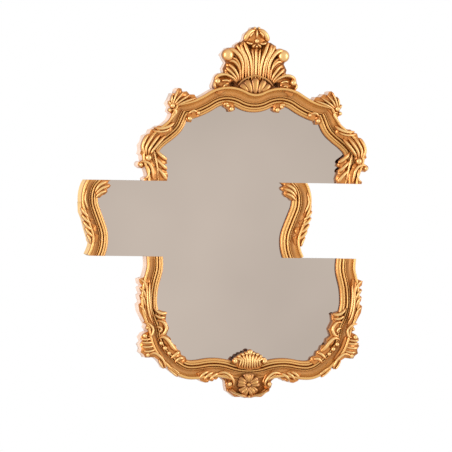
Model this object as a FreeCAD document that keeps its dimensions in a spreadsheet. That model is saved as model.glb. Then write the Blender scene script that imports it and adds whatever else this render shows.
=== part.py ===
import FreeCAD, Part
import math
import os

Vector = FreeCAD.Vector

# The document, its sheet of driving dimensions, and the readers of that sheet

doc = FreeCAD.newDocument("sliced_mirror")
sheet = doc.addObject("Spreadsheet::Sheet", "sizes")

SIZES = [
    ("frame_height", 1200.0, "crest tip to apron foot"),
    ("slice_width", 770.0, "width of the upper and the lower slice"),
    ("slice_shift", 189.0, "how far the middle slice stands to the left"),
    ("hang_rise", 170.0, "height of the hang line above the upper cut"),
    ("wall_gap", 8.0, "wall to the back of the frame"),
    ("board_thickness", 12.0, "plywood carrier"),
    ("tape_thickness", 1.0, "foam strips between board and pane"),
    ("glass_thickness", 4.0, "mirror pane"),
    ("glass_lap", 12.0, "pane under the sight edge"),
    ("board_lap", 28.0, "board under the moulding"),
    ("rebate_clearance", 0.5, "board edge to rebate wall"),
    ("lip", 4.0, "height of the sight edge over the pane"),
    ("cushion_width", 17.0, "rounded band next to the pane"),
    ("cushion_height", 40.0, "its inner shoulder above the wall"),
    ("groove_width", 3.0, "furrow between two bands"),
    ("groove_depth", 3.0, "its depth"),
    ("bead_width", 12.0, "raised bead outside the cushion"),
    ("bead_height", 44.0, "crown of the bead above the wall"),
    ("cove_width", 15.0, "hollow band outside the bead"),
    ("cove_height", 36.0, "floor of the hollow above the wall"),
    ("torus_width", 12.0, "outer round"),
    ("torus_height", 57.0, "crown of the outer round above the wall"),
    ("relief_height", 60.0, "front of the carved leaves above the wall"),
    ("crest_ground", 36.0, "front of the crest's ground above the wall"),
    ("low_relief", 48.0, "front of the carving inside the sight edge"),
    ("leaf_float", 2.0, "carving clear of the pane"),
    ("carving_rise", 5.0, "leaning front of a leaf"),
    ("lean_angle", 24.0, "its angle from square"),
    ("flute_width", 5.0, "gouge cut at a leaf's tip"),
    ("flute_depth", 3.5, "its depth there"),
    ("boss_radius", 6.0, "button of the rosette"),
    ("screw_shank", 4.0, "diameter of the frame screws"),
    ("screw_head", 8.0, "diameter of their sunk heads"),
    ("screw_length", 26.0, "their length"),
    ("tape_width", 25.0, "width of a foam strip"),
    ("tape_length", 170.0, "length of a foam strip"),
    ("bumper_diameter", 16.0, "felt dots"),
    ("strap_width", 14.0, "hanger strap"),
    ("strap_length", 46.0, "hanger strap below its knuckle"),
    ("strap_thickness", 1.5, "hanger strap"),
    ("strap_spacing", 420.0, "between the two hangers"),
    ("ring_wire", 3.2, "diameter of the ring's wire"),
    ("ring_width", 24.0, "between the ring's legs, on centre"),
    ("ring_leg", 8.0, "straight leg of the ring"),
    ("knuckle_clearance", 0.3, "wire to knuckle, all round"),
    ("strap_screw_shank", 3.0, "diameter of the strap screws"),
    ("strap_screw_head", 7.0, "diameter of their heads"),
    ("strap_screw_rise", 1.8, "height of their heads"),
    ("strap_screw_length", 11.0, "their length under the head"),
    ("strap_screw_pitch", 13.0, "between the two screws of a strap"),
    ("saw_run", 15.0, "longest straight run of a curved moulding"),
    ("overrun", 20.0, "how far a cutting tool passes the wood"),
]

for row, (alias, value, note) in enumerate(SIZES, start=1):
    sheet.set("A%d" % row, alias)
    sheet.set("B%d" % row, str(value))
    sheet.set("C%d" % row, note)
    sheet.setAlias("B%d" % row, alias)
doc.recompute()


def size(alias):
    return float(sheet.get(alias))


# The carver's drawing is squared up: outlines are given in squares across from a slice's
# own centre line and up from the upper cut

SQUARE_HEIGHT_SHARE = 1 / 120
SQUARE_WIDTH_SHARE = 1 / 77
LOWER_CUT_SHARE = -24.4
square_high = size("frame_height") * SQUARE_HEIGHT_SHARE
square_wide = size("slice_width") * SQUARE_WIDTH_SHARE
upper_cut = -size("hang_rise")
lower_cut = upper_cut + LOWER_CUT_SHARE * square_high

# Levels in front of the wall

back_level = size("wall_gap")
board_front = back_level + size("board_thickness")
glass_back = board_front + size("tape_thickness")
glass_front = glass_back + size("glass_thickness")
relief_front = size("relief_height")
low_front = size("low_relief")
float_level = glass_front + size("leaf_float")
ground_front = size("crest_ground")
overrun = size("overrun")


def flat(across, up):
    """A point of the drawing, in millimetres: across and height."""
    return (across * square_wide, upper_cut + up * square_high)


def space(point, level):
    """The same point at a level in front of the wall, which lies at y = 0."""
    return Vector(point[0], -level, point[1])


# Lines of tangent arcs through stations (across, up, heading in degrees)

TOP_LINE_SHARES = [
    (26.8, 20.7, 163.0),
    (18.6, 22.95, 158.0),
    (9.0, 26.9, 180.0),
    (0.0, 24.7, 180.0),
    (-9.0, 26.9, 180.0),
    (-18.6, 22.95, 202.0),
    (-26.8, 20.7, 197.0),
]
UPPER_LINE_SHARES = [
    (-21.8, 25.4, 242.0),
    (-24.8, 19.2, 249.0),
    (-29.8, 13.9, 215.0),
    (-33.7, 8.8, 262.0),
    (-32.5, 4.5, 289.0),
    (-31.5, -1.0, 276.0),
]
MIDDLE_LINE_SHARES = [
    (-28.9, 2.3, 213.0),
    (-33.2, -1.3, 228.0),
    (-34.8, -6.0, 270.0),
    (-33.0, -12.2, 292.0),
    (-31.1, -19.0, 270.0),
    (-33.0, -25.8, 240.0),
]
LOWER_LINE_SHARES = [
    (-31.6, -23.6, 273.0),
    (-31.4, -27.2, 270.0),
    (-32.4, -32.2, 254.0),
    (-33.2, -38.5, 270.0),
    (-31.3, -45.3, 297.0),
    (-30.2, -49.4, 281.0),
    (-28.4, -53.5, 306.0),
    (-23.6, -58.3, 322.0),
]
BOTTOM_LINE_SHARES = [
    (-23.6, -58.3, 322.0),
    (-19.5, -59.9, 0.0),
    (-11.8, -59.1, 0.0),
    (0.0, -60.9, 0.0),
    (11.8, -59.1, 0.0),
    (19.5, -59.9, 0.0),
    (23.6, -58.3, 38.0),
]


STRAIGHT_SHARE = 0.0005
FULLEST_BEND_DEGREES = 13.0


class Arc:
    """One piece of a line: start, end, centre (None if straight), turn in radians, heading."""

    def __init__(self, start, heading, end):
        self.start = start
        self.end = end
        self.heading = heading
        chord = (end[0] - start[0], end[1] - start[1])
        normal = (-heading[1], heading[0])
        side = chord[0] * normal[0] + chord[1] * normal[1]
        length = math.hypot(*chord)
        self.centre = None
        self.turn = 0.0
        if abs(side) > STRAIGHT_SHARE * length:
            radius = length**2 / (2 * side)
            self.centre = (start[0] + normal[0] * radius, start[1] + normal[1] * radius)
            along = chord[0] * heading[0] + chord[1] * heading[1]
            self.turn = 2 * math.atan2(side, along)
        self.length = length

    def at(self, share, outward):
        """A point a share of the way along, moved to the right of the heading."""
        angle = self.turn * share
        heading = turned(self.heading, angle)
        if self.centre is None:
            point = tuple(a + (b - a) * share for a, b in zip(self.start, self.end))
        else:
            arm = (self.start[0] - self.centre[0], self.start[1] - self.centre[1])
            arm = turned(arm, angle)
            point = (self.centre[0] + arm[0], self.centre[1] + arm[1])
        return (point[0] + heading[1] * outward, point[1] - heading[0] * outward)

    def runs(self):
        """How many short straight runs stand for the piece."""
        by_length = math.ceil(self.length / size("saw_run"))
        by_bend = math.ceil(abs(math.degrees(self.turn)) / FULLEST_BEND_DEGREES)
        return max(1, by_length, by_bend)


def stations_of(arcs):
    """Every joint between two straight runs, as a piece of the line and a share of it."""
    joints = [(arc, i / arc.runs()) for arc in arcs for i in range(arc.runs())]
    return joints + [(arcs[-1], 1.0)]


def turned(vector, angle):
    c = math.cos(angle)
    s = math.sin(angle)
    return (vector[0] * c - vector[1] * s, vector[0] * s + vector[1] * c)


def line_of_arcs(stations):
    """Two tangent arcs from each station to the next."""
    arcs = []
    for (x1, z1, h1), (x2, z2, h2) in zip(stations, stations[1:]):
        start = flat(x1, z1)
        end = flat(x2, z2)
        t1 = turned((1.0, 0.0), math.radians(h1))
        t2 = turned((1.0, 0.0), math.radians(h2))
        v = (end[0] - start[0], end[1] - start[1])
        total = (t1[0] + t2[0], t1[1] + t2[1])
        v_total = v[0] * total[0] + v[1] * total[1]
        apart = 2 * (1 - (t1[0] * t2[0] + t1[1] * t2[1]))
        v_squared = v[0] ** 2 + v[1] ** 2
        if apart > STRAIGHT_SHARE**2:
            reach = (math.sqrt(v_total**2 + apart * v_squared) - v_total) / apart
        else:
            reach = v_squared / (4 * (v[0] * t2[0] + v[1] * t2[1]))
        middle = tuple((start[i] + end[i] + reach * (t1[i] - t2[i])) / 2 for i in (0, 1))
        first = Arc(start, t1, middle)
        arcs.append(first)
        arcs.append(Arc(middle, turned(t1, first.turn), end))
    return arcs


top_line = line_of_arcs(TOP_LINE_SHARES)
upper_line = line_of_arcs(UPPER_LINE_SHARES)
middle_line = line_of_arcs(MIDDLE_LINE_SHARES)
lower_line = line_of_arcs(LOWER_LINE_SHARES)
bottom_line = line_of_arcs(BOTTOM_LINE_SHARES)

# The moulding's section, outward from the sight edge; the lines above run along its first
# groove, line_inset outside the sight edge

line_inset = size("cushion_width") + size("groove_width") + size("groove_width") / 2
cushion_end = size("cushion_width")
bead_start = cushion_end + size("groove_width")
bead_end = bead_start + size("bead_width")
cove_start = bead_end + size("groove_width")
cove_end = cove_start + size("cove_width")
torus_end = cove_end + size("torus_width")


CUSHION_SWELL_SHARE = 0.4
CUSHION_RISE_SHARE = 0.8
TORUS_FACET_SHARE = 0.3


def section_corners():
    """The corners of the closed section: out from the sight edge, and level."""
    rebate = size("board_lap") + size("rebate_clearance")
    glass_rebate = size("glass_lap") + size("rebate_clearance")
    sight_top = glass_front + size("lip")
    cushion_top = size("cushion_height")
    swell_level = sight_top + (cushion_top - sight_top) * CUSHION_RISE_SHARE
    torus_top = size("torus_height")
    facet = size("torus_width") * TORUS_FACET_SHARE
    return [
        (0, glass_front),
        (glass_rebate, glass_front),
        (glass_rebate, board_front),
        (rebate, board_front),
        (rebate, back_level),
        (torus_end, back_level),
        (torus_end, torus_top - facet),
        (torus_end - facet, torus_top),
        (cove_end + facet, torus_top),
        (cove_end, torus_top - facet),
        (cove_end, size("cove_height")),
        (cove_start, size("cove_height")),
        ((bead_start + bead_end) / 2, size("bead_height")),
        (bead_start, cushion_top - size("groove_depth")),
        (cushion_end, cushion_top),
        (cushion_end * CUSHION_SWELL_SHARE, swell_level),
        (0, sight_top),
    ]


TOWARDS_ROOM = Vector(0, -1, 0)


def facet(*corners):
    return Part.Face(Part.makePolygon(list(corners) + [corners[0]]))


def moulding(arcs):
    """The section carried along a line in short straight runs, square to the line at each joint."""
    rings = []
    for arc, share in stations_of(arcs):
        ring = [space(arc.at(share, out - line_inset), level) for out, level in section_corners()]
        rings.append(ring)
    skin = [facet(*rings[0]), facet(*rings[-1])]
    for near, far in zip(rings, rings[1:]):
        for i, corner in enumerate(near):
            skin.append(facet(corner, near[i - 1], far[i - 1], far[i]))
    shell = Part.Shell(skin)
    shell.sewShape()
    solid = Part.Solid(shell.Shells[0])
    if solid.Volume < 0:
        solid.reverse()
    return solid


def prism(edges, low, high):
    """A closed outline drawn at level 0, as a solid between two levels."""
    face = Part.Face(Part.Wire(edges))
    solid = face.extrude(Vector(0, low - high, 0))
    solid.translate(Vector(0, -low, 0))
    return solid


def polygon(points, low, high):
    ring = points + points[:1]
    edges = [Part.LineSegment(space(a, 0), space(b, 0)).toShape() for a, b in zip(ring, ring[1:])]
    return prism(edges, low, high)


def turned_piece(start, direction, profile):
    """A profile of (radius, along) points turned about the line from start."""
    ring = [Vector(radius, 0, along) for radius, along in profile]
    face = Part.Face(Part.makePolygon(ring + ring[:1]))
    solid = face.revolve(Vector(0, 0, 0), Vector(0, 0, 1), 360)
    solid.Placement = FreeCAD.Placement(start, FreeCAD.Rotation(Vector(0, 0, 1), direction))
    return solid


# Wide blocks that trim a piece at the cuts

far_wide = size("slice_width")
far_high = size("frame_height")
front_level = relief_front + overrun


def slab(low, high):
    corners = [(-far_wide, low), (far_wide, low), (far_wide, high), (-far_wide, high)]
    return polygon(corners, -overrun, front_level)


above_upper_cut = slab(upper_cut, upper_cut + far_high)
between_cuts = slab(lower_cut, upper_cut)
below_lower_cut = slab(lower_cut - far_high, lower_cut)

# The mitre at the shoulder runs from the inner corner to the outer one

MITRE_INNER_SHARE = (-20.7, 20.4)
MITRE_OUTER_SHARE = (-26.2, 24.6)


def mitre_block():
    """Everything on the stile's side of the left mitre."""
    inner = flat(*MITRE_INNER_SHARE)
    outer = flat(*MITRE_OUTER_SHARE)
    run = (outer[0] - inner[0], outer[1] - inner[1])
    reach = far_wide / math.hypot(*run)
    a = (inner[0] - run[0] * reach, inner[1] - run[1] * reach)
    b = (inner[0] + run[0] * reach, inner[1] + run[1] * reach)
    side = (run[1] * reach, -run[0] * reach)
    corners = [a, b, (b[0] - side[0], b[1] - side[1]), (a[0] - side[0], a[1] - side[1])]
    return polygon(corners, -overrun, front_level)


MIRROR_NORMAL = Vector(1, 0, 0)


def mirrored(shape, centre=0.0):
    return shape.mirror(Vector(centre, 0, 0), MIRROR_NORMAL)


# Carved pieces: closed outlines, listed as end, via, end, via and so on; a full curve runs
# round through its via point in short cuts, a shallow one is two cuts of the chisel

CHISEL_CUT_SHARE = 0.45
ROUND_CUT_COUNT = 6


def outline_edges(shares, across=0.0):
    points = [flat(x, z) for x, z in shares]
    points = [space((x + across, z), 0) for x, z in points]
    corners = []
    for i in range(0, len(points), 2):
        a = points[i]
        via = points[i + 1]
        b = points[(i + 2) % len(points)]
        bulge = (via - a).cross(b - a).Length / (b - a).Length ** 2
        if bulge < CHISEL_CUT_SHARE:
            corners += [a, via]
        else:
            corners += Part.Arc(a, via, b).toShape().discretize(ROUND_CUT_COUNT + 1)[:-1]
    return Part.makePolygon(corners + corners[:1]).Edges


def relief(edges, low, high):
    """A prism whose front leans inward over the last of its height, as a carver rounds it."""
    rise = size("carving_rise")
    body = prism(edges, low, high - rise)
    outline = doc.addObject("Part::Feature", "outline")
    face = Part.Face(Part.Wire(edges))
    face.translate(Vector(0, rise - high, 0))
    outline.Shape = face
    lean = doc.addObject("Part::Extrusion", "lean")
    lean.Base = outline
    lean.DirMode = "Custom"
    lean.Dir = Vector(0, -1, 0)
    lean.setExpression("LengthFwd", "sizes.carving_rise")
    lean.Solid = True
    lean.setExpression("TaperAngle", "sizes.lean_angle")
    lean.recompute()
    return body.fuse(lean.Shape).removeSplitter()


def flute(root, tip, level, across):
    """A V-shaped gouge from a point at the leaf's root, wider and deeper to past its tip."""
    start = space(flat(*root), level)
    end = space(flat(*tip), level)
    start.x += across
    end.x += across
    run = end - start
    side = run.cross(TOWARDS_ROOM)
    side.normalize()
    half = size("flute_width") / 2
    left = end - side * half
    right = end + side * half
    bottom = end - TOWARDS_ROOM * size("flute_depth")
    lift = TOWARDS_ROOM * size("flute_depth")
    faces = [
        Part.Face(Part.makePolygon(ring + ring[:1]))
        for ring in (
            [start, left, bottom],
            [start, bottom, right],
            [left, left + lift, right + lift, right, bottom],
            [start, start + lift, left + lift, left],
            [start, right, right + lift, start + lift],
            [start + lift, right + lift, left + lift],
        )
    ]
    return Part.Solid(Part.Shell(faces))


def gouged(blank, high, flutes, across=0.0):
    for root, tip in flutes:
        blank = blank.cut(flute(root, tip, high, across))
    return blank


def carved(shares, low, high, flutes=(), across=0.0):
    """A leaf: its outline between two levels, front edge softened, veins gouged."""
    return gouged(relief(outline_edges(shares, across), low, high), high, flutes, across)


def square_carved(shares, low, high, flutes=(), across=0.0):
    """A leaf too narrow for a leaning front: its edge stays square."""
    return gouged(prism(outline_edges(shares, across), low, high), high, flutes, across)


def both_halves(half):
    """A whole outline from its right half, which starts and ends on the centre line."""
    back = [(-x, z) for x, z in reversed(half[1:-1])]
    return half + back


def main_solid(shape):
    """The largest solid; what a trim leaves as crumbs is dropped."""
    return max(shape.Solids, key=lambda s: s.Volume)


pieces = {}


def keep(name, shape):
    pieces[name] = main_solid(shape)
    return pieces[name]


def trimmed(shape, *names):
    tools = [pieces[name] for name in names]
    return shape.cut(tools)


def pair(name, shape, centre=0.0):
    """A left-hand piece and its mirror image on the right."""
    keep(name + "_left", shape)
    keep(name + "_right", mirrored(shape, centre))


middle_axis = -size("slice_shift")

# Mouldings

left_of_mitre = mitre_block()
right_of_mitre = mirrored(left_of_mitre)
keep("top_rail", moulding(top_line).cut([left_of_mitre, right_of_mitre]))

SCROLL_NOTCH_SHARES = [(-38.25, 2.8), (-36.5, 4.55), (-34.75, 2.8), (-36.5, 1.05)]
notch = prism(outline_edges(SCROLL_NOTCH_SHARES), -overrun, front_level)
upper_stile = moulding(upper_line).common(left_of_mitre).common(above_upper_cut).cut(notch)
pair("upper_stile", upper_stile)

middle_stile = moulding(middle_line).common(between_cuts)
middle_stile.translate(Vector(middle_axis, 0, 0))
pair("middle_stile", middle_stile, middle_axis)

pair("lower_stile", moulding(lower_line).common(below_lower_cut))

# The outer round of the bottom rail makes way for the apron

APRON_RECESS_SHARES = [
    (-5.6, -67.0), (-5.3, -64.6), (-5.8, -62.6), (-3.0, -62.2),
    (0.0, -62.3), (3.0, -62.2), (5.8, -62.6), (5.3, -64.6),
    (5.6, -67.0), (0.0, -67.0),
]
recess = prism(outline_edges(APRON_RECESS_SHARES), -overrun, front_level)
keep("bottom_rail", moulding(bottom_line).cut(recess))

# Pane and board: one stepped outline each, a named lap outside the sight edge


def beside(arcs, outward):
    """The line's joints, moved outward."""
    return [arc.at(share, outward - line_inset) for arc, share in stations_of(arcs)]


def slice_region(arcs, outward, low, high):
    """The solid inside a line and its mirror image, between two levels."""
    left = beside(arcs, outward)
    right = [(-x, z) for x, z in reversed(left) if abs(x) > STRAIGHT_SHARE * square_wide]
    return polygon(left + right, low, high)


def under_top_rail(outward, low, high):
    """Everything below the top rail's line."""
    line = beside(top_line, outward)
    right = line[0]
    left = line[-1]
    corners = [
        (-far_wide, left[1]),
        (-far_wide, upper_cut - overrun),
        (far_wide, upper_cut - overrun),
        (far_wide, right[1]),
    ]
    return polygon(line + corners, low, high)


def stepped_plate(outward, low, high):
    top = slice_region(upper_line, outward, low, high)
    top = top.common(under_top_rail(outward, low, high)).common(above_upper_cut)
    middle = slice_region(middle_line, outward, low, high).common(between_cuts)
    middle.translate(Vector(middle_axis, 0, 0))
    half = lower_line + bottom_line[: len(bottom_line) // 2]
    bottom = slice_region(half, outward, low, high).common(below_lower_cut)
    return top.multiFuse([middle, bottom]).removeSplitter()


board = stepped_plate(size("board_lap"), back_level, board_front)
keep("mirror_glass", stepped_plate(size("glass_lap"), glass_back, glass_front))

# The crest: a ground plate, and carving laid on it

RAILS = ("top_rail", "upper_stile_left", "upper_stile_right")

CREST_GROUND_SHARES = both_halves([
    (0.0, 27.0), (6.7, 27.0), (13.2, 27.0), (14.4, 30.9),
    (12.9, 34.5), (11.8, 35.1), (10.5, 35.0), (10.9, 36.5),
    (9.9, 38.4), (11.5, 41.0), (9.6, 43.2), (8.4, 43.4),
    (7.2, 42.8), (6.9, 44.2), (5.4, 45.2), (4.7, 45.3),
    (4.0, 46.0), (3.6, 47.8), (1.7, 49.1), (0.9, 50.1),
    (0.0, 49.3),
])
HOLLOW_CENTRE_SHARE = (7.3, 31.5)
HOLLOW_RADIUS_SHARE = 0.8
hollow_radius = HOLLOW_RADIUS_SHARE * square_wide


def crest_ground():
    """The plate, with a deep hollow under each lower volute."""
    plate = prism(outline_edges(CREST_GROUND_SHARES), back_level, ground_front)
    for side in (-1, 1):
        across, up = HOLLOW_CENTRE_SHARE
        floor = space(flat(side * across, up), board_front)
        plate = plate.cut(Part.makeCylinder(hollow_radius, relief_front, floor, TOWARDS_ROOM))
    return plate


keep("crest_back", trimmed(crest_ground(), *RAILS))

CREST_STEM_SHARES = both_halves([
    (0.0, 34.9), (0.8, 34.8), (1.3, 34.3), (1.5, 39.0),
    (2.3, 43.0), (1.2, 43.5), (0.0, 43.3),
])
STEM_FLUTES = [
    ((0.0, 35.5), (0.0, 44.5)),
    ((0.6, 35.5), (1.3, 44.5)),
    ((-0.6, 35.5), (-1.3, 44.5)),
]
keep("crest_stem", square_carved(CREST_STEM_SHARES, ground_front, relief_front, STEM_FLUTES))

CREST_FINIAL_SHARES = both_halves([
    (0.0, 43.4), (0.9, 43.7), (1.7, 44.6), (2.9, 44.8),
    (3.9, 45.7), (3.6, 47.6), (1.6, 49.1), (0.8, 49.8),
    (0.0, 49.5),
])
FINIAL_FLUTES = [
    ((-0.9, 45.2), (-2.6, 49.4)),
    ((0.9, 45.2), (2.6, 49.4)),
    ((-1.6, 45.4), (-4.4, 47.2)),
    ((1.6, 45.4), (4.4, 47.2)),
]
finial = carved(CREST_FINIAL_SHARES, ground_front, relief_front, FINIAL_FLUTES)
keep("crest_finial", trimmed(finial, "crest_stem"))

CREST_INNER_LEAF_SHARES = [
    (-3.1, 34.6), (-2.6, 38.2), (-4.0, 41.4), (-5.0, 43.0),
    (-4.8, 45.1), (-3.7, 45.6), (-2.8, 44.9), (-1.75, 40.0),
    (-1.6, 34.7), (-2.3, 34.3),
]
INNER_LEAF_FLUTES = [
    ((-2.2, 35.5), (-3.4, 46.0)),
    ((-2.6, 36.0), (-4.6, 45.6)),
]
inner_leaf = square_carved(CREST_INNER_LEAF_SHARES, ground_front, relief_front, INNER_LEAF_FLUTES)
pair("crest_inner_leaf", trimmed(inner_leaf, "crest_stem", "crest_finial"))

CREST_VOLUTE_SHARES = [
    (-3.4, 34.6), (-3.2, 38.4), (-5.3, 42.0), (-5.2, 44.0),
    (-6.0, 44.7), (-6.8, 44.2), (-7.2, 42.9), (-8.4, 43.3),
    (-9.6, 43.1), (-11.4, 41.1), (-9.9, 38.9), (-8.9, 38.8),
    (-8.3, 39.6), (-8.0, 40.9), (-7.2, 41.0), (-5.2, 38.6),
    (-4.9, 34.7), (-4.1, 34.4),
]
VOLUTE_FLUTES = [
    ((-3.7, 35.6), (-5.9, 45.4)),
    ((-4.5, 37.4), (-7.4, 43.2)),
]
volute = carved(CREST_VOLUTE_SHARES, ground_front, relief_front, VOLUTE_FLUTES)
pair("crest_volute", trimmed(volute, "crest_inner_leaf_left"))

CREST_SIDE_LEAF_SHARES = [
    (-5.1, 34.4), (-5.5, 37.6), (-7.4, 39.9), (-8.6, 38.3),
    (-9.8, 38.2), (-9.7, 37.4), (-9.0, 36.8), (-10.1, 36.3),
    (-10.3, 35.0), (-8.6, 34.4), (-7.0, 33.4), (-5.9, 33.4),
]
SIDE_LEAF_FLUTES = [
    ((-5.8, 34.6), (-8.6, 40.0)),
    ((-6.2, 34.4), (-10.4, 38.0)),
    ((-7.0, 34.0), (-10.8, 35.9)),
]
side_leaf = carved(CREST_SIDE_LEAF_SHARES, ground_front, low_front, SIDE_LEAF_FLUTES)
pair("crest_side_leaf", trimmed(side_leaf, "crest_volute_left", "crest_inner_leaf_left"))

LOWER_VOLUTE_SHARES = [
    (-6.4, 33.0), (-8.4, 34.5), (-10.6, 34.7), (-11.8, 35.0),
    (-12.8, 34.4), (-14.2, 31.6), (-12.9, 28.4), (-11.7, 28.0),
    (-10.9, 29.0), (-9.6, 29.6), (-8.5, 30.2), (-8.9, 32.2),
    (-7.5, 32.6), (-6.9, 32.5),
]
LOWER_VOLUTE_FLUTES = [
    ((-8.0, 33.6), (-12.4, 34.6)),
    ((-12.0, 32.6), (-13.6, 29.0)),
]
lower_volute = square_carved(LOWER_VOLUTE_SHARES, ground_front, relief_front, LOWER_VOLUTE_FLUTES)
pair("crest_lower_volute", trimmed(lower_volute, "crest_side_leaf_left", "top_rail"))

CREST_SHELL_SHARES = [
    (-6.1, 31.0), (-3.9, 33.6), (0.0, 34.6), (3.9, 33.6),
    (6.1, 31.0), (3.0, 29.3), (0.0, 28.2), (-3.0, 29.3),
]
SHELL_FOOT_SHARE = (0.0, 25.5)
crest_ribs = [(SHELL_FOOT_SHARE, (1.9 * i, 35.4 - 0.25 * i * i)) for i in (-2, -1, 0, 1, 2)]
shell = carved(CREST_SHELL_SHARES, ground_front, low_front, crest_ribs)
SHELL_NEIGHBOURS = ("top_rail", "crest_stem", "crest_inner_leaf_left", "crest_inner_leaf_right")
SHELL_NEIGHBOURS += ("crest_lower_volute_left", "crest_lower_volute_right")
keep("crest_shell", trimmed(shell, *SHELL_NEIGHBOURS))

# Leaves round the upper slice

SHOULDER_LEAF_SHARES = [
    (-19.5, 26.4), (-20.6, 28.0), (-22.2, 28.0), (-23.2, 29.0),
    (-24.6, 28.6), (-25.0, 29.8), (-25.9, 30.0), (-26.7, 29.4),
    (-26.8, 28.3), (-28.0, 28.2), (-28.8, 26.2), (-29.6, 24.9),
    (-28.7, 23.6), (-29.2, 22.4), (-28.2, 21.6), (-26.4, 22.2),
    (-25.4, 23.4), (-24.4, 24.8), (-22.4, 25.4), (-21.0, 26.0),
]
SHOULDER_FLUTES = [
    ((-25.6, 24.6), (-22.6, 29.4)),
    ((-26.0, 24.6), (-25.2, 30.6)),
    ((-26.6, 24.4), (-28.6, 28.8)),
    ((-26.6, 24.0), (-30.0, 24.9)),
]
shoulder = carved(SHOULDER_LEAF_SHARES, back_level, relief_front, SHOULDER_FLUTES)
pair("shoulder_leaf", trimmed(shoulder, "top_rail", "upper_stile_left"))

ACANTHUS_SHARES = [
    (-27.8, 17.4), (-29.8, 18.3), (-31.8, 17.7), (-32.6, 17.7),
    (-34.0, 16.7), (-35.0, 16.4), (-35.4, 15.2), (-37.1, 14.4),
    (-37.5, 12.6), (-38.4, 11.4), (-38.1, 9.8), (-38.5, 8.6),
    (-37.3, 7.6), (-36.2, 6.3), (-34.6, 6.9), (-34.9, 10.4),
    (-33.2, 12.2), (-30.8, 14.0), (-28.2, 15.6), (-27.6, 16.4),
]
ACANTHUS_FLUTES = [
    ((-35.4, 8.6), (-37.8, 11.0)),
    ((-34.8, 9.6), (-37.2, 13.8)),
    ((-33.8, 11.4), (-35.8, 15.8)),
    ((-31.8, 13.2), (-33.2, 17.4)),
]
acanthus = carved(ACANTHUS_SHARES, back_level, relief_front, ACANTHUS_FLUTES)
pair("upper_acanthus", trimmed(acanthus, "upper_stile_left"))

UPPER_SCROLL_SHARES = [
    (-34.6, 6.8), (-36.0, 6.5), (-37.4, 5.9), (-39.1, 5.6),
    (-38.9, 4.5), (-37.9, 3.9), (-36.9, 4.5), (-35.2, 4.3),
    (-34.6, 2.9), (-35.0, 1.7), (-36.4, 1.2), (-37.1, 0.7),
    (-36.9, 0.0), (-34.7, 0.0), (-32.6, 0.0), (-32.4, 3.0),
    (-33.6, 5.2), (-33.8, 6.0),
]
SCROLL_FLUTES = [
    ((-34.0, 0.5), (-35.4, 6.8)),
    ((-35.4, 5.4), (-38.2, 5.1)),
]
scroll = carved(UPPER_SCROLL_SHARES, back_level, relief_front, SCROLL_FLUTES)
pair("upper_scroll", trimmed(scroll, "upper_stile_left", "upper_acanthus_left"))

TOP_CURL_SHARES = [
    (-10.9, 25.2), (-9.8, 26.2), (-8.4, 25.9), (-7.0, 25.6),
    (-6.6, 24.2), (-6.5, 23.3), (-7.3, 22.8), (-8.4, 22.6),
    (-8.8, 23.5), (-9.9, 24.1),
]
CURL_FLUTES = [
    ((-9.6, 25.2), (-8.2, 22.6)),
    ((-8.4, 25.2), (-7.0, 22.4)),
]
pair("top_curl", trimmed(carved(TOP_CURL_SHARES, float_level, low_front, CURL_FLUTES), "top_rail"))

SHOULDER_CURL_SHARES = [
    (-18.2, 21.4), (-18.9, 22.8), (-20.2, 23.2), (-21.6, 22.4),
    (-22.4, 21.0), (-23.0, 19.9), (-22.2, 19.1), (-21.2, 19.0),
    (-20.9, 20.0), (-20.7, 20.8), (-19.8, 20.7), (-18.9, 20.8),
]
SHOULDER_CURL_FLUTES = [
    ((-20.8, 21.8), (-21.8, 19.2)),
    ((-20.4, 21.8), (-18.2, 21.0)),
]
shoulder_curl = square_carved(SHOULDER_CURL_SHARES, float_level, low_front, SHOULDER_CURL_FLUTES)
pair("shoulder_curl", trimmed(shoulder_curl, "top_rail", "upper_stile_left"))

UPPER_INNER_LEAF_SHARES = [
    (-31.4, 8.8), (-30.3, 7.8), (-30.4, 6.8), (-29.2, 6.6),
    (-28.9, 5.6), (-29.8, 5.3), (-30.2, 4.7), (-29.2, 4.3),
    (-29.1, 3.2), (-28.6, 1.6), (-28.9, 0.0), (-30.2, 0.0),
    (-31.4, 0.0), (-31.9, 3.0), (-32.8, 5.8), (-32.6, 7.6),
]
UPPER_INNER_FLUTES = [
    ((-31.0, 3.0), (-28.4, 6.6)),
    ((-30.8, 0.8), (-28.8, 4.4)),
]
upper_inner = carved(UPPER_INNER_LEAF_SHARES, float_level, low_front, UPPER_INNER_FLUTES)
pair("upper_inner_leaf", trimmed(upper_inner, "upper_stile_left"))

# Leaves of the middle slice

MIDDLE_OUTER_SHARES = [
    (-38.9, -7.2), (-38.7, -10.4), (-37.7, -12.7), (-36.9, -15.6),
    (-35.8, -18.8), (-35.0, -20.3), (-33.2, -19.4), (-32.8, -17.8),
    (-34.2, -16.9), (-33.5, -15.2), (-35.4, -14.2), (-34.7, -12.7),
    (-36.7, -11.5), (-36.3, -10.1), (-37.4, -8.8), (-38.0, -7.6),
]
MIDDLE_OUTER_FLUTES = [
    ((-37.6, -9.4), (-36.2, -12.0)),
    ((-37.2, -12.4), (-34.8, -14.2)),
    ((-36.6, -14.8), (-33.4, -17.2)),
    ((-36.0, -17.4), (-33.0, -19.8)),
]
middle_outer = carved(
    MIDDLE_OUTER_SHARES, back_level, relief_front, MIDDLE_OUTER_FLUTES, middle_axis
)
pair("middle_outer_leaf", trimmed(middle_outer, "middle_stile_left"), middle_axis)

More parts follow.
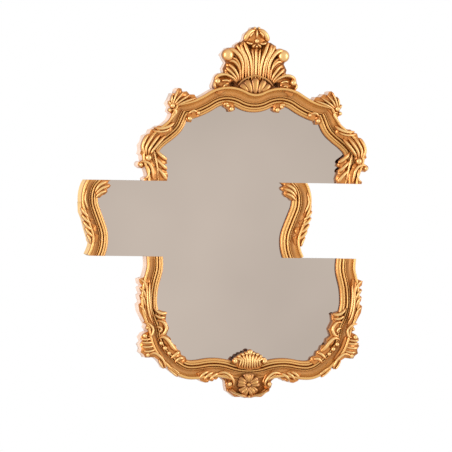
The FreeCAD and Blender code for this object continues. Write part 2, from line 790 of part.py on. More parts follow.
MIDDLE_INNER_SHARES = [
    (-29.8, 0.0), (-29.5, -0.6), (-29.9, -1.1), (-29.3, -1.2),
    (-28.8, -1.8), (-29.2, -2.5), (-30.0, -2.9), (-29.8, -3.8),
    (-30.6, -4.6), (-31.6, -5.0), (-32.4, -5.8), (-34.0, -4.4),
    (-33.8, -2.8), (-33.3, -1.2), (-32.2, 0.0), (-31.0, 0.0),
]
MIDDLE_INNER_FLUTES = [
    ((-33.4, -3.0), (-29.4, -2.8)),
    ((-33.2, -4.2), (-30.2, -4.4)),
]
middle_inner = square_carved(
    MIDDLE_INNER_SHARES, float_level, low_front, MIDDLE_INNER_FLUTES, middle_axis
)
pair("middle_inner_leaf", trimmed(middle_inner, "middle_stile_left"), middle_axis)

# Leaves round the lower slice

LOWER_SIDE_SHARES = [
    (-34.4, -31.0), (-36.2, -31.0), (-38.0, -31.6), (-37.7, -33.0),
    (-36.6, -34.0), (-37.2, -34.0), (-37.8, -34.4), (-37.4, -35.6),
    (-36.5, -36.4), (-37.2, -36.4), (-37.8, -36.8), (-37.5, -38.2),
    (-36.6, -39.0), (-37.2, -39.2), (-38.0, -39.8), (-37.6, -42.0),
    (-36.4, -44.2), (-35.8, -45.4), (-34.9, -46.3), (-35.2, -46.6),
    (-35.6, -47.1), (-34.6, -48.4), (-32.8, -48.6), (-33.2, -46.4),
    (-34.2, -43.4), (-34.8, -40.0), (-34.6, -36.6), (-34.2, -33.6),
]
LOWER_SIDE_FLUTES = [
    ((-35.6, -35.0), (-37.6, -31.6)),
    ((-35.8, -37.6), (-38.0, -34.6)),
    ((-35.8, -40.4), (-38.2, -37.2)),
    ((-35.2, -44.0), (-38.2, -40.0)),
]
lower_side = carved(LOWER_SIDE_SHARES, back_level, relief_front, LOWER_SIDE_FLUTES)
pair("lower_side_leaf", trimmed(lower_side, "lower_stile_left"))

LOWER_CORNER_SHARES = [
    (-33.2, -49.2), (-34.6, -48.4), (-36.0, -49.0), (-37.1, -50.4),
    (-36.4, -51.7), (-37.3, -52.7), (-36.6, -54.0), (-36.9, -55.2),
    (-35.8, -56.0), (-35.3, -56.9), (-34.2, -56.9), (-32.4, -56.7),
    (-31.0, -57.6), (-30.0, -58.7), (-29.0, -60.3), (-28.0, -58.6),
    (-29.0, -56.6), (-31.0, -53.6), (-32.0, -50.8), (-32.4, -49.8),
]
LOWER_CORNER_FLUTES = [
    ((-33.0, -50.4), (-37.2, -50.2)),
    ((-32.8, -52.0), (-37.4, -52.6)),
    ((-32.4, -53.8), (-37.0, -55.2)),
    ((-30.2, -56.4), (-34.8, -57.0)),
]
lower_corner = square_carved(LOWER_CORNER_SHARES, back_level, relief_front, LOWER_CORNER_FLUTES)
CORNER_NEIGHBOURS = ("lower_stile_left", "bottom_rail", "lower_side_leaf_left")
pair("lower_corner_leaf", trimmed(lower_corner, *CORNER_NEIGHBOURS))

LOWER_INNER_SHARES = [
    (-30.4, -41.6), (-28.2, -42.4), (-28.4, -45.0), (-27.2, -47.4),
    (-28.0, -49.6), (-26.6, -50.6), (-26.2, -52.4), (-24.9, -52.8),
    (-24.4, -54.2), (-23.3, -54.7), (-22.9, -56.0), (-21.5, -56.6),
    (-20.9, -57.9), (-22.4, -59.0), (-24.4, -57.4), (-27.4, -54.4),
    (-29.0, -51.4), (-30.0, -49.0), (-30.4, -46.8), (-31.2, -44.0),
]
LOWER_INNER_FLUTES = [
    ((-30.6, -46.0), (-27.4, -43.8)),
    ((-30.0, -48.6), (-27.2, -46.6)),
    ((-28.8, -52.0), (-26.6, -50.4)),
    ((-27.0, -54.6), (-24.2, -53.4)),
]
lower_inner = carved(LOWER_INNER_SHARES, float_level, low_front, LOWER_INNER_FLUTES)
pair("lower_inner_leaf", trimmed(lower_inner, "lower_stile_left", "bottom_rail"))

BOTTOM_LEAF_SHARES = [
    (-17.6, -61.8), (-16.6, -64.2), (-15.0, -64.9), (-14.0, -64.8),
    (-13.4, -63.9), (-12.8, -64.5), (-12.1, -63.7), (-11.4, -64.0),
    (-10.6, -63.4), (-10.6, -62.4), (-11.8, -61.4), (-14.6, -60.8),
]
BOTTOM_LEAF_FLUTES = [
    ((-16.0, -61.4), (-14.6, -65.2)),
    ((-14.4, -61.2), (-13.0, -64.6)),
    ((-12.8, -61.4), (-11.2, -64.2)),
]
bottom_leaf = carved(BOTTOM_LEAF_SHARES, back_level, relief_front, BOTTOM_LEAF_FLUTES)
pair("bottom_leaf", trimmed(bottom_leaf, "bottom_rail"))

# The shell over the bottom rail, its lobes set out on a fan

SHELL_LOBE_COUNT = 9
SHELL_CENTRE_SHARE = (0.0, -60.0)
SHELL_TOP_SHARE = 5.5
SHELL_SIDE_SHARE = 6.1
SHELL_VALLEY_SHARE = 0.9
SHELL_FAN_DEGREES = 142.0
SHELL_FOOT_SHARES = [(-3.6, -60.2), (0.0, -60.8), (3.6, -60.2)]


def fan_point(angle, reach):
    a = math.radians(angle)
    across = SHELL_CENTRE_SHARE[0] + SHELL_SIDE_SHARE * reach * math.cos(a)
    return (across, SHELL_CENTRE_SHARE[1] + SHELL_TOP_SHARE * reach * math.sin(a))


def shell_shares():
    step = SHELL_FAN_DEGREES / SHELL_LOBE_COUNT
    first = 90.0 - SHELL_FAN_DEGREES / 2
    points = []
    for i in range(SHELL_LOBE_COUNT):
        points.append(fan_point(first + step * i, SHELL_VALLEY_SHARE))
        points.append(fan_point(first + step * (i + 0.5), 1.0))
    points.append(fan_point(first + step * SHELL_LOBE_COUNT, SHELL_VALLEY_SHARE))
    return points + SHELL_FOOT_SHARES


def shell_flutes():
    step = SHELL_FAN_DEGREES / SHELL_LOBE_COUNT
    first = 90.0 - SHELL_FAN_DEGREES / 2
    return [(SHELL_CENTRE_SHARE, fan_point(first + step * i, 1.0)) for i in range(1, SHELL_LOBE_COUNT)]


bottom_shell = carved(shell_shares(), float_level, relief_front, shell_flutes())
keep("bottom_shell", trimmed(bottom_shell, "bottom_rail"))

# Apron, its scrolls and its rosette

APRON_SHARES = both_halves([
    (0.0, -62.3), (3.0, -62.2), (5.8, -62.6), (7.6, -63.4),
    (9.4, -63.2), (7.9, -64.4), (7.7, -66.0), (7.3, -67.6),
    (6.0, -68.4), (4.4, -69.6), (2.2, -69.6), (1.1, -69.9),
    (0.0, -69.8),
])
apron = prism(outline_edges(APRON_SHARES), back_level, ground_front)
keep("apron", trimmed(apron, "bottom_rail"))

APRON_SCROLL_SHARES = [
    (-11.0, -62.4), (-8.2, -60.9), (-5.6, -62.3), (-4.6, -64.4),
    (-5.4, -66.6), (-6.4, -67.2), (-7.4, -66.5), (-7.9, -65.2),
    (-7.0, -64.4), (-6.6, -63.7), (-7.4, -63.4), (-9.4, -63.3),
]
APRON_SCROLL_FLUTES = [
    ((-5.4, -64.8), (-6.4, -61.8)),
    ((-7.0, -62.4), (-10.6, -62.4)),
]
apron_scroll = carved(APRON_SCROLL_SHARES, ground_front, relief_front, APRON_SCROLL_FLUTES)
pair("apron_scroll", trimmed(apron_scroll, "bottom_rail", "apron", "bottom_leaf_left"))

APRON_LEAF_SHARES = both_halves([
    (0.0, -69.2), (3.2, -68.8), (5.5, -67.0), (6.4, -67.3),
    (7.2, -67.0), (7.1, -67.6), (5.9, -68.3), (4.4, -69.5),
    (2.2, -69.5), (1.1, -69.8), (0.0, -69.7),
])

ROSETTE_CENTRE_SHARE = (0.0, -65.6)
ROSETTE_PETAL_COUNT = 5
ROSETTE_REACH_SHARE = 3.5
ROSETTE_VALLEY_SHARE = 2.4
PETAL_SHOULDER_SHARE = 0.25
PETAL_SIDE_SHARE = 0.93
PETAL_TIP_SHARE = 0.96


def rosette_point(angle, reach):
    a = math.radians(angle)
    return (ROSETTE_CENTRE_SHARE[0] + reach * math.sin(a), ROSETTE_CENTRE_SHARE[1] + reach * math.cos(a))


def rosette():
    step = 360.0 / ROSETTE_PETAL_COUNT
    side_reach = ROSETTE_REACH_SHARE * PETAL_SIDE_SHARE
    points = []
    flutes = []
    for i in range(ROSETTE_PETAL_COUNT):
        middle = step * i
        valley = middle - step / 2
        shoulder = step * PETAL_SHOULDER_SHARE
        points.append(rosette_point(valley, ROSETTE_VALLEY_SHARE))
        points.append(rosette_point(valley + shoulder, side_reach))
        points.append(rosette_point(middle, ROSETTE_REACH_SHARE * PETAL_TIP_SHARE))
        points.append(rosette_point(middle + step / 2 - shoulder, side_reach))
        flutes.append((ROSETTE_CENTRE_SHARE, rosette_point(middle, ROSETTE_REACH_SHARE)))
    flower = square_carved(points, ground_front, low_front, flutes)
    boss = size("boss_radius")
    profile = [(0, 0), (boss, 0), (boss, boss / 2), (boss / 2, boss), (0, boss)]
    centre = space(flat(*ROSETTE_CENTRE_SHARE), low_front - size("flute_depth"))
    return flower.fuse(turned_piece(centre, TOWARDS_ROOM, profile))


keep("apron_rosette", trimmed(rosette(), "bottom_rail", "apron_scroll_left", "apron_scroll_right"))
apron_leaf = square_carved(APRON_LEAF_SHARES, ground_front, low_front)
APRON_NEIGHBOURS = ("apron_scroll_left", "apron_scroll_right", "apron_rosette")
keep("apron_leaf", trimmed(apron_leaf, *APRON_NEIGHBOURS))

# Foam strips between board and pane

TAPE_SHARES = [
    (-20.0, 10.0),
    (0.0, 12.0),
    (20.0, 10.0),
    (-40.0, -12.0),
    (-14.0, -40.0),
    (14.0, -40.0),
]


def foam_strips():
    strips = []
    for x, z in TAPE_SHARES:
        centre = flat(x, z)
        start = (centre[0] - size("tape_width") / 2, centre[1] - size("tape_length") / 2)
        corner = space(start, glass_back)
        box = (size("tape_width"), size("tape_thickness"), size("tape_length"))
        strips.append(Part.makeBox(*box, corner))
    return Part.makeCompound(strips)


# Frame screws: sunk from behind through the board into the moulding

SCREW_SHARES = [(9.0, 26.9), (31.6, 12.6), (33.2, -38.5), (11.8, -59.1)]
MIDDLE_SCREW_SHARE = (34.8, -6.0)


def frame_screw(point):
    shank = size("screw_shank") / 2
    head = size("screw_head") / 2
    length = size("screw_length")
    profile = [(0, 0), (head, 0), (shank, head - shank), (shank, length), (0, length)]
    return turned_piece(space(point, back_level), TOWARDS_ROOM, profile)


def screw_points():
    points = []
    for side in (-1, 1):
        points += [flat(side * x, z) for x, z in SCREW_SHARES]
        across, up = flat(side * MIDDLE_SCREW_SHARE[0], MIDDLE_SCREW_SHARE[1])
        points.append((across + middle_axis, up))
    return points


screws = [frame_screw(point) for point in screw_points()]

# Hangers: a folded strap with a rolled knuckle, two screws and a swinging ring

pivot_level = back_level - size("strap_thickness") - size("knuckle_clearance") - size("ring_wire") / 2
knuckle_bore = size("ring_wire") / 2 + size("knuckle_clearance")
knuckle_radius = back_level - pivot_level
strap_face = back_level - size("strap_thickness")
hanger_places = {"left": -size("strap_spacing") / 2, "right": size("strap_spacing") / 2}
first_screw_drop = size("strap_length") - size("strap_screw_pitch") - size("strap_width") / 2
screw_drops = (first_screw_drop, first_screw_drop + size("strap_screw_pitch"))


def strap_screw(place, drop):
    shank = size("strap_screw_shank") / 2
    head = size("strap_screw_head") / 2
    rise = size("strap_screw_rise")
    length = size("strap_screw_length")
    profile = [(0, -rise), (head, -rise), (head, 0), (shank, 0), (shank, length), (0, length)]
    return turned_piece(Vector(place, -strap_face, -drop), TOWARDS_ROOM, profile)


strap_screws = [strap_screw(x, drop) for x in hanger_places.values() for drop in screw_drops]

# The wood is bored for every screw with the screw's own outline

board = board.cut(screws + strap_screws)
keep("backing_board", board)
SCREWED = ("top_rail", "upper_stile", "middle_stile", "lower_stile", "bottom_rail")
for name in [n for n in pieces if n.startswith(SCREWED)]:
    keep(name, pieces[name].cut(screws))


# What becomes an object of the document


def feature(label, shape):
    item = doc.addObject("Part::Feature", label)
    item.Shape = shape
    item.Label = label
    return item


parts = [feature(name, shape) for name, shape in pieces.items()]
parts.append(feature("mounting_tape", foam_strips()))
parts.append(feature("frame_screws", Part.makeCompound(screws)))
parts.append(feature("hanger_screws", Part.makeCompound(strap_screws)))


def origin_plane(body, role):
    return [f for f in body.Origin.OriginFeatures if f.Role == role][0]


def sketch_on(body, role, name):
    sketch = body.newObject("Sketcher::SketchObject", name)
    sketch.AttachmentSupport = [(origin_plane(body, role), "")]
    sketch.MapMode = "FlatFace"
    return sketch


def hanger_plate(side):
    """A strap pressed flat on the board, rolled at its top round the ring's bar."""
    body = doc.addObject("PartDesign::Body", side + "_hanger_plate")
    body.Label = side + "_hanger_plate"
    profile = sketch_on(body, "YZ_Plane", side + "_strap_profile")
    back = -back_level
    face = -strap_face
    centre = Vector(-pivot_level, 0, 0)
    foot = -size("strap_length")
    meet = math.sqrt(knuckle_radius**2 - (face - centre.x) ** 2)
    a = math.atan2(-meet, face - centre.x)
    circle = Part.Circle(centre, Vector(0, 0, 1), knuckle_radius)
    profile.addGeometry(Part.LineSegment(Vector(back, 0, 0), Vector(back, foot, 0)))
    profile.addGeometry(Part.LineSegment(Vector(back, foot, 0), Vector(face, foot, 0)))
    profile.addGeometry(Part.LineSegment(Vector(face, foot, 0), Vector(face, -meet, 0)))
    profile.addGeometry(Part.ArcOfCircle(circle, a, math.pi))
    profile.addGeometry(Part.Circle(centre, Vector(0, 0, 1), knuckle_bore))
    pad = body.newObject("PartDesign::Pad", side + "_strap")
    pad.Profile = profile
    pad.Midplane = True
    pad.setExpression("Length", "sizes.strap_width")
    holes = sketch_on(body, "XZ_Plane", side + "_strap_holes")
    for drop in screw_drops:
        bore = Part.Circle(Vector(0, -drop, 0), Vector(0, 0, 1), size("strap_screw_shank") / 2)
        holes.addGeometry(bore)
    pocket = body.newObject("PartDesign::Pocket", side + "_strap_bores")
    pocket.Profile = holes
    pocket.Midplane = True
    pocket.Length = 2 * (back_level + overrun)
    body.Tip = pocket
    sign = "-" if side == "left" else ""
    body.setExpression("Placement.Base.x", sign + "sizes.strap_spacing / 2")
    return body


RING_BOW_RUN_COUNT = 4


def hanger_ring(side):
    """A D of round wire: bar in the knuckle, two legs, a bow of short runs below."""
    half = size("ring_width") / 2
    points = [Vector(-half, 0, 0), Vector(half, 0, 0)]
    for i in range(RING_BOW_RUN_COUNT + 1):
        angle = math.pi * i / RING_BOW_RUN_COUNT
        points.append(Vector(half * math.cos(angle), 0, -size("ring_leg") - half * math.sin(angle)))
    path = doc.addObject("Part::Feature", side + "_ring_path")
    path.Shape = Part.makePolygon(points + points[:1])
    section = doc.addObject("Part::Circle", side + "_ring_section")
    section.setExpression("Radius", "sizes.ring_wire / 2")
    section.Placement = FreeCAD.Placement(Vector(0, 0, 0), FreeCAD.Rotation(Vector(0, 1, 0), 90))
    ring = doc.addObject("Part::Sweep", side + "_hanger_ring")
    ring.Sections = [section]
    ring.Spine = (path, ["Edge1"])
    ring.Solid = True
    ring.Transition = "Right corner"
    ring.Label = side + "_hanger_ring"
    ring.Placement.Base = Vector(hanger_places[side], -pivot_level, 0)
    return ring


for side in hanger_places:
    parts.append(hanger_plate(side))
    parts.append(hanger_ring(side))

# Felt dots behind the frame

BUMPER_SHARES = [(-10.0, 24.6), (10.0, 24.6), (-12.0, -61.8), (12.0, -61.8)]


def bumpers():
    dots = []
    for number, (x, z) in enumerate(BUMPER_SHARES, start=1):
        dot = doc.addObject("Part::Cylinder", "bumper_%d" % number)
        dot.setExpression("Radius", "sizes.bumper_diameter / 2")
        dot.setExpression("Height", "sizes.wall_gap")
        place = flat(x, z)
        forward = FreeCAD.Rotation(Vector(1, 0, 0), 90)
        dot.Placement = FreeCAD.Placement(space(place, 0), forward)
        dots.append(dot)
    group = doc.addObject("Part::Compound", "wall_bumpers")
    group.Links = dots
    group.Label = "wall_bumpers"
    return group


parts.append(bumpers())
doc.recompute()

# Everything is looked at before anything is written

for item in doc.Objects:
    if "Invalid" in item.State or "Error" in item.State:
        raise RuntimeError("%s did not build" % item.Label)
for item in parts:
    if item.Shape.isNull() or not item.Shape.isValid():
        raise RuntimeError("%s has no valid shape" % item.Label)

os.makedirs("parts", exist_ok=True)
for item in parts:
    item.Shape.exportStep("parts/%s.step" % item.Label)
print("%d nodes" % len(parts))
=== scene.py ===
import math

import bmesh
import bpy
from mathutils import Matrix, Vector


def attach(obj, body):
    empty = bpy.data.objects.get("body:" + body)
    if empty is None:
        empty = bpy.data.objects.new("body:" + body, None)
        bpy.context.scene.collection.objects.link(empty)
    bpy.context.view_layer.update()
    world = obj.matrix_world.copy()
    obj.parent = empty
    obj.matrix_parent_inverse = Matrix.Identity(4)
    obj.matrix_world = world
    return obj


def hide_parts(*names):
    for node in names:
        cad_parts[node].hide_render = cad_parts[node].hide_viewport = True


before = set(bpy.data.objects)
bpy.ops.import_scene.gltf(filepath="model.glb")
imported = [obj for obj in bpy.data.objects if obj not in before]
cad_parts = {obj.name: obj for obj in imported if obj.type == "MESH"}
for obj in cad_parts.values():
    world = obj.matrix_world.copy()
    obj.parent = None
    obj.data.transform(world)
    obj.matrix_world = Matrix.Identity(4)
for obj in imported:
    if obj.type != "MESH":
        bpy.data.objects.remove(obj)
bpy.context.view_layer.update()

# Sizes are in millimetres until put() turns them into the frame's metres

MM = 0.001
HANG_RISE = 170.0
SLICE_SHIFT = 189.0
LOWER_CUT = -244.0

BACK = 8.0
BOARD_FRONT = 20.0
GLASS_FRONT = 25.0
SIGHT_TOP = 29.0

MERGE = 0.02 * MM

CUT_UP = Vector((0, 0, 1))
CUT_DOWN = Vector((0, 0, -1))
LEFTWARD = Vector((-1, 0, 0))
RIGHTWARD = Vector((1, 0, 0))
TOWARDS_ROOM = Vector((0, -1, 0))


def put(across, up, level):
    """Across from the axis, up from the upper cut and in front of the wall, as a frame point."""
    return Vector((across, -level, up - HANG_RISE)) * MM


# Lines of the moulding, through stations (across, up, heading) in squares and degrees

SQUARE = 10.0
TOP_LINE = [
    (26.8, 20.7, 163), (18.6, 22.95, 158), (9.0, 26.9, 180), (0.0, 24.7, 180),
    (-9.0, 26.9, 180), (-18.6, 22.95, 202), (-26.8, 20.7, 197),
]
UPPER_LINE = [
    (-21.8, 25.4, 242), (-24.8, 19.2, 249), (-29.8, 13.9, 215),
    (-33.7, 8.8, 262), (-32.5, 4.5, 289), (-31.5, -1.0, 276),
]
MIDDLE_LINE = [
    (-28.9, 2.3, 213), (-33.2, -1.3, 228), (-34.8, -6.0, 270),
    (-33.0, -12.2, 292), (-31.1, -19.0, 270), (-33.0, -25.8, 240),
]
LOWER_LINE = [
    (-31.6, -23.6, 273), (-31.4, -27.2, 270), (-32.4, -32.2, 254), (-33.2, -38.5, 270),
    (-31.3, -45.3, 297), (-30.2, -49.4, 281), (-28.4, -53.5, 306), (-23.6, -58.3, 322),
]
BOTTOM_LINE = [
    (-23.6, -58.3, 322), (-19.5, -59.9, 0), (-11.8, -59.1, 0), (0.0, -60.9, 0),
    (11.8, -59.1, 0), (19.5, -59.9, 0), (23.6, -58.3, 38),
]

STEP = 4.0
FLATTEST_SHARE = 0.0005
LEAST_APART = 1e-6


def turned(vector, angle):
    cosine = math.cos(angle)
    sine = math.sin(angle)
    return (vector[0] * cosine - vector[1] * sine, vector[0] * sine + vector[1] * cosine)


class Arc:
    """One piece of a line: start, heading there, centre, length and turn in radians."""

    def __init__(self, start, heading, end):
        self.start = start
        self.heading = heading
        chord = (end[0] - start[0], end[1] - start[1])
        normal = (-heading[1], heading[0])
        side = chord[0] * normal[0] + chord[1] * normal[1]
        self.length = math.hypot(*chord)
        # a straight piece turns about a far centre
        if abs(side) < FLATTEST_SHARE * self.length:
            side = FLATTEST_SHARE * self.length
        radius = self.length**2 / (2 * side)
        self.centre = (start[0] + normal[0] * radius, start[1] + normal[1] * radius)
        along = chord[0] * heading[0] + chord[1] * heading[1]
        self.turn = 2 * math.atan2(side, along)

    def first_point(self, out):
        """A point beside the start, to the right of the heading."""
        return (self.start[0] + self.heading[1] * out, self.start[1] - self.heading[0] * out)


def line_of_arcs(stations):
    """Two tangent arcs from each station to the next."""
    arcs = []
    for (x1, z1, h1), (x2, z2, h2) in zip(stations, stations[1:]):
        start = (x1 * SQUARE, z1 * SQUARE)
        end = (x2 * SQUARE, z2 * SQUARE)
        t1 = turned((1.0, 0.0), math.radians(h1))
        t2 = turned((1.0, 0.0), math.radians(h2))
        v = (end[0] - start[0], end[1] - start[1])
        total = (t1[0] + t2[0], t1[1] + t2[1])
        v_total = v[0] * total[0] + v[1] * total[1]
        apart = 2 * (1 - (t1[0] * t2[0] + t1[1] * t2[1]))
        v_squared = v[0] ** 2 + v[1] ** 2
        # where both headings are alike, the general sum would divide by zero
        if apart > LEAST_APART:
            reach = (math.sqrt(v_total**2 + apart * v_squared) - v_total) / apart
        else:
            reach = v_squared / (4 * (v[0] * t2[0] + v[1] * t2[1]))
        middle = tuple((start[i] + end[i] + reach * (t1[i] - t2[i])) / 2 for i in (0, 1))
        first = Arc(start, t1, middle)
        arcs.append(first)
        arcs.append(Arc(middle, turned(t1, first.turn), end))
    return arcs


# The moulding's section in bands of points (out from the sight edge, level), each with its finish

BAND_STEPS = 8
FINE_STEPS = 12
THIN_STEPS = 10
FEW_STEPS = 6


def swell(start, end, crown, steps):
    """A round band from one point of the section to the next, crown above the line between."""
    points = []
    for i in range(steps + 1):
        angle = math.pi * i / steps
        share = (1 - math.cos(angle)) / 2
        out = start[0] + (end[0] - start[0]) * share
        level = start[1] + (end[1] - start[1]) * share + crown * math.sin(angle)
        points.append((out, level))
    return points


def quarter(start, end, steps):
    """A quarter round, upright at its start and level at its end."""
    points = []
    for i in range(steps + 1):
        angle = math.pi / 2 * i / steps
        out = start[0] + (end[0] - start[0]) * (1 - math.cos(angle))
        points.append((out, start[1] + (end[1] - start[1]) * math.sin(angle)))
    return points


GILT, COVE, SIDE, BARE, SIGHT_SHADE = range(5)

SIGHT_WALL = [(0, GLASS_FRONT), (0, SIGHT_TOP)]
SIGHT_ROUND = [
    *quarter((0, SIGHT_TOP), (8.5, 38), FEW_STEPS),
    (9.3, 36),
    *swell((10, 36.5), (17, 36), 3.8, BAND_STEPS),
]
BEADS = [(17, 36), (18.5, 34), *swell((19.5, 35), (27.5, 35.5), 8.5, FINE_STEPS), (28, 35)]
THIN_BEAD = [(28, 35), *swell((28.6, 35.2), (32.6, 35.2), 6, THIN_STEPS)]
COVE_FLOOR = [(32.6, 35.2), *swell((34, 35.5), (46, 37.5), -2, FEW_STEPS)]
COVE_RISE = [(46, 37.5), (48.6, 39.8), (50.2, 42.8), (51, 46.2), (51.2, 50)]
OUTER_ROUND = swell((51.2, 50), (62, 49), 8.5, FINE_STEPS)
OUTER_SIDE = [(62, 49), (62, BACK)]
BACK_FACE = [(62, BACK), (28.5, BACK)]
REBATES = [(28.5, BOARD_FRONT), (12.5, BOARD_FRONT), (12.5, GLASS_FRONT), (0, GLASS_FRONT)]

INNER_BANDS = [
    # The sight wall takes the dark brown of painted shade
    (SIGHT_SHADE, SIGHT_WALL),
    (GILT, SIGHT_ROUND),
    (GILT, BEADS),
    (GILT, THIN_BEAD),
]
OUTER_BANDS = [
    (COVE, COVE_FLOOR),
    (COVE, COVE_RISE),
    (GILT, OUTER_ROUND),
    (SIDE, OUTER_SIDE),
    (BARE, BACK_FACE + REBATES),
]

# Under the apron the rail ends in the cove, and its back lies in a little, clear of the apron's

COVE_END = (50, 38.5)
INSET_BACK = BACK + 0.6
COVE_ENDED = [
    (COVE, COVE_FLOOR + [COVE_END]),
    (BARE, [COVE_END, (50, INSET_BACK), (28.5, INSET_BACK)] + REBATES),
]

# Wear and painted light run from 0 in the hollows to 1 on the crowns, and the gilding takes its colour
# from it: dark hollows are painted shade over the real wash, pale crowns painted highlight over the
# real rubbing

WEAR_AND_SHADE = "wear_and_shade"
HOLLOW_SHADE_AND_WEAR = 0.05
GROUND_SHADE_AND_WEAR = 0.42
LINE_INSET = 21.5


def sweep_band(bm, arcs, band, slot):
    """Turns one open band of the section about the centre of each arc in turn."""
    first_face = len(bm.faces)
    wear_and_shade = bm.verts.layers.float[WEAR_AND_SHADE]
    lowest = min(level for out, level in band)
    highest = max(level for out, level in band)
    row = []
    for out, level in band:
        vert = bm.verts.new(put(*arcs[0].first_point(out - LINE_INSET), level))
        # Painted shade and highlight: darker low in each band, paler at its crown, and darkest at both
        # ends, in the grooves between bands
        vert[wear_and_shade] = (level - lowest) / (highest - lowest)
        row.append(vert)
    for end in (row[0], row[-1]):
        end[wear_and_shade] = HOLLOW_SHADE_AND_WEAR
    geom = row + [bm.edges.new(pair) for pair in zip(row, row[1:])]
    for arc in arcs:
        steps = max(1, round(arc.length / STEP))
        spun = bmesh.ops.spin(
            bm, geom=geom, cent=put(*arc.centre, 0), axis=TOWARDS_ROOM, angle=arc.turn, steps=steps
        )
        geom = spun["geom_last"]
    bm.faces.ensure_lookup_table()
    for face in bm.faces[first_face:]:
        face.material_index = slot


def cut_away(bm, point, normal):
    """Clears what stands on the normal's side of a plane and closes the mouth."""
    geom = bm.verts[:] + bm.edges[:] + bm.faces[:]
    cut = bmesh.ops.bisect_plane(bm, geom=geom, plane_co=point, plane_no=normal, clear_outer=True)
    rim = [item for item in cut["geom_cut"] if isinstance(item, bmesh.types.BMEdge)]
    bmesh.ops.triangle_fill(bm, edges=rim, use_beauty=True)


def mirror_mesh(bm, centre):
    flip = Matrix.Translation((2 * centre * MM, 0, 0)) @ Matrix.Scale(-1, 4, RIGHTWARD)
    bmesh.ops.transform(bm, matrix=flip, verts=bm.verts)


PLAIN_SHARP = math.radians(38)
CARVED_SHARP = math.radians(50)
MOULDED_SHARP = math.radians(60)


def finish_mesh(bm, name, materials, sharp=PLAIN_SHARP):
    """Turns a mesh outward, smooths it up to an angle, and gives the object that holds it."""
    bmesh.ops.recalc_face_normals(bm, faces=bm.faces)
    mesh = bpy.data.meshes.new(name)
    bm.to_mesh(mesh)
    bm.free()
    for material in materials:
        mesh.materials.append(material)
    mesh.shade_smooth()
    mesh.set_sharp_from_angle(angle=sharp)
    piece = bpy.data.objects.new(name, mesh)
    bpy.context.scene.collection.objects.link(piece)
    return piece


# Materials

NOISE_DETAIL = 3.0
TARNISH_SCALE = 60.0
TARNISH_SHARE = 0.12
HOLLOW_AT = 0.06
FLANK_AT = 0.5
CROWN_AT = 0.96
DARKER = 0.8
DARKER_AT = 0.3
COLOUR_AT = 0.7
GRAIN_HEIGHT = 0.4 * MM


def new_material(name):
    material = bpy.data.materials.new(name)
    material.use_nodes = True
    tree = material.node_tree
    return material, tree, tree.nodes["Principled BSDF"]


def set_values(shader, **values):
    for name, value in values.items():
        shader.inputs[name.replace("_", " ")].default_value = value


def linear(red, green, blue):
    """A colour given as it looks, from 0 to 255, turned into the renderer's linear values."""
    def one(value):
        value /= 255
        return value / 12.92 if value <= 0.04045 else ((value + 0.055) / 1.055) ** 2.4
    return (one(red), one(green), one(blue), 1.0)


def colour_ramp(tree, stops):
    ramp = tree.nodes.new("ShaderNodeValToRGB")
    elements = ramp.color_ramp.elements
    elements[0].position, elements[0].color = stops[0]
    elements[1].position, elements[1].color = stops[-1]
    for position, colour in stops[1:-1]:
        elements.new(position).color = colour
    return ramp


def object_noise(tree, scale, stretch=(1, 1, 1)):
    """Noise in the object's own coordinates."""
    place = tree.nodes.new("ShaderNodeTexCoord")
    mapping = tree.nodes.new("ShaderNodeMapping")
    mapping.inputs["Scale"].default_value = stretch
    texture = tree.nodes.new("ShaderNodeTexNoise")
    texture.inputs["Scale"].default_value = scale
    texture.inputs["Detail"].default_value = NOISE_DETAIL
    tree.links.new(place.outputs["Object"], mapping.inputs["Vector"])
    tree.links.new(mapping.outputs["Vector"], texture.inputs["Vector"])
    return texture


def add_bump(tree, shader, texture, strength):
    bump = tree.nodes.new("ShaderNodeBump")
    bump.inputs["Strength"].default_value = strength
    bump.inputs["Distance"].default_value = GRAIN_HEIGHT
    tree.links.new(texture.outputs["Fac"], bump.inputs["Height"])
    tree.links.new(bump.outputs["Normal"], shader.inputs["Normal"])


def gilding(name, hollow_wash_and_shade, warm, crown_rub_and_highlight, roughness=0.34):
    """Gold leaf over brown bole: hollows take the dark wash with painted shade, proud edges are rubbed
    pale with painted highlight.
    """
    material, tree, shader = new_material(name)
    wear_and_shade = tree.nodes.new("ShaderNodeAttribute")
    wear_and_shade.attribute_name = WEAR_AND_SHADE
    tarnish = object_noise(tree, TARNISH_SCALE)
    mix = tree.nodes.new("ShaderNodeMath")
    mix.operation = "MULTIPLY_ADD"
    mix.inputs[1].default_value = TARNISH_SHARE
    tree.links.new(tarnish.outputs["Fac"], mix.inputs[0])
    tree.links.new(wear_and_shade.outputs["Fac"], mix.inputs[2])
    ramp = colour_ramp(tree, [
        (HOLLOW_AT, linear(*hollow_wash_and_shade)),
        (FLANK_AT, linear(*warm)),
        (CROWN_AT, linear(*crown_rub_and_highlight)),
    ])
    tree.links.new(mix.outputs["Value"], ramp.inputs["Fac"])
    tree.links.new(ramp.outputs["Color"], shader.inputs["Base Color"])
    set_values(shader, Metallic=0.75, Roughness=roughness, Coat_Weight=0.6, Coat_Roughness=0.18)
    return material


def plain(name, seen, metallic, roughness, grain, relief=0.25, stretch=(1, 1, 1)):
    """A quiet surface: one colour, slightly uneven, with a grain of a given fineness."""
    material, tree, shader = new_material(name)
    texture = object_noise(tree, grain, stretch)
    colour = linear(*seen)
    darker = tuple(c * DARKER for c in colour[:3]) + (1.0,)
    ramp = colour_ramp(tree, [(DARKER_AT, darker), (COLOUR_AT, colour)])
    tree.links.new(texture.outputs["Fac"], ramp.inputs["Fac"])
    tree.links.new(ramp.outputs["Color"], shader.inputs["Base Color"])
    set_values(shader, Metallic=metallic, Roughness=roughness)
    add_bump(tree, shader, texture, relief)
    return material


# Gilding: the colours of hollow (wash and painted shade), flank and crown (rubbing and painted
# highlight)

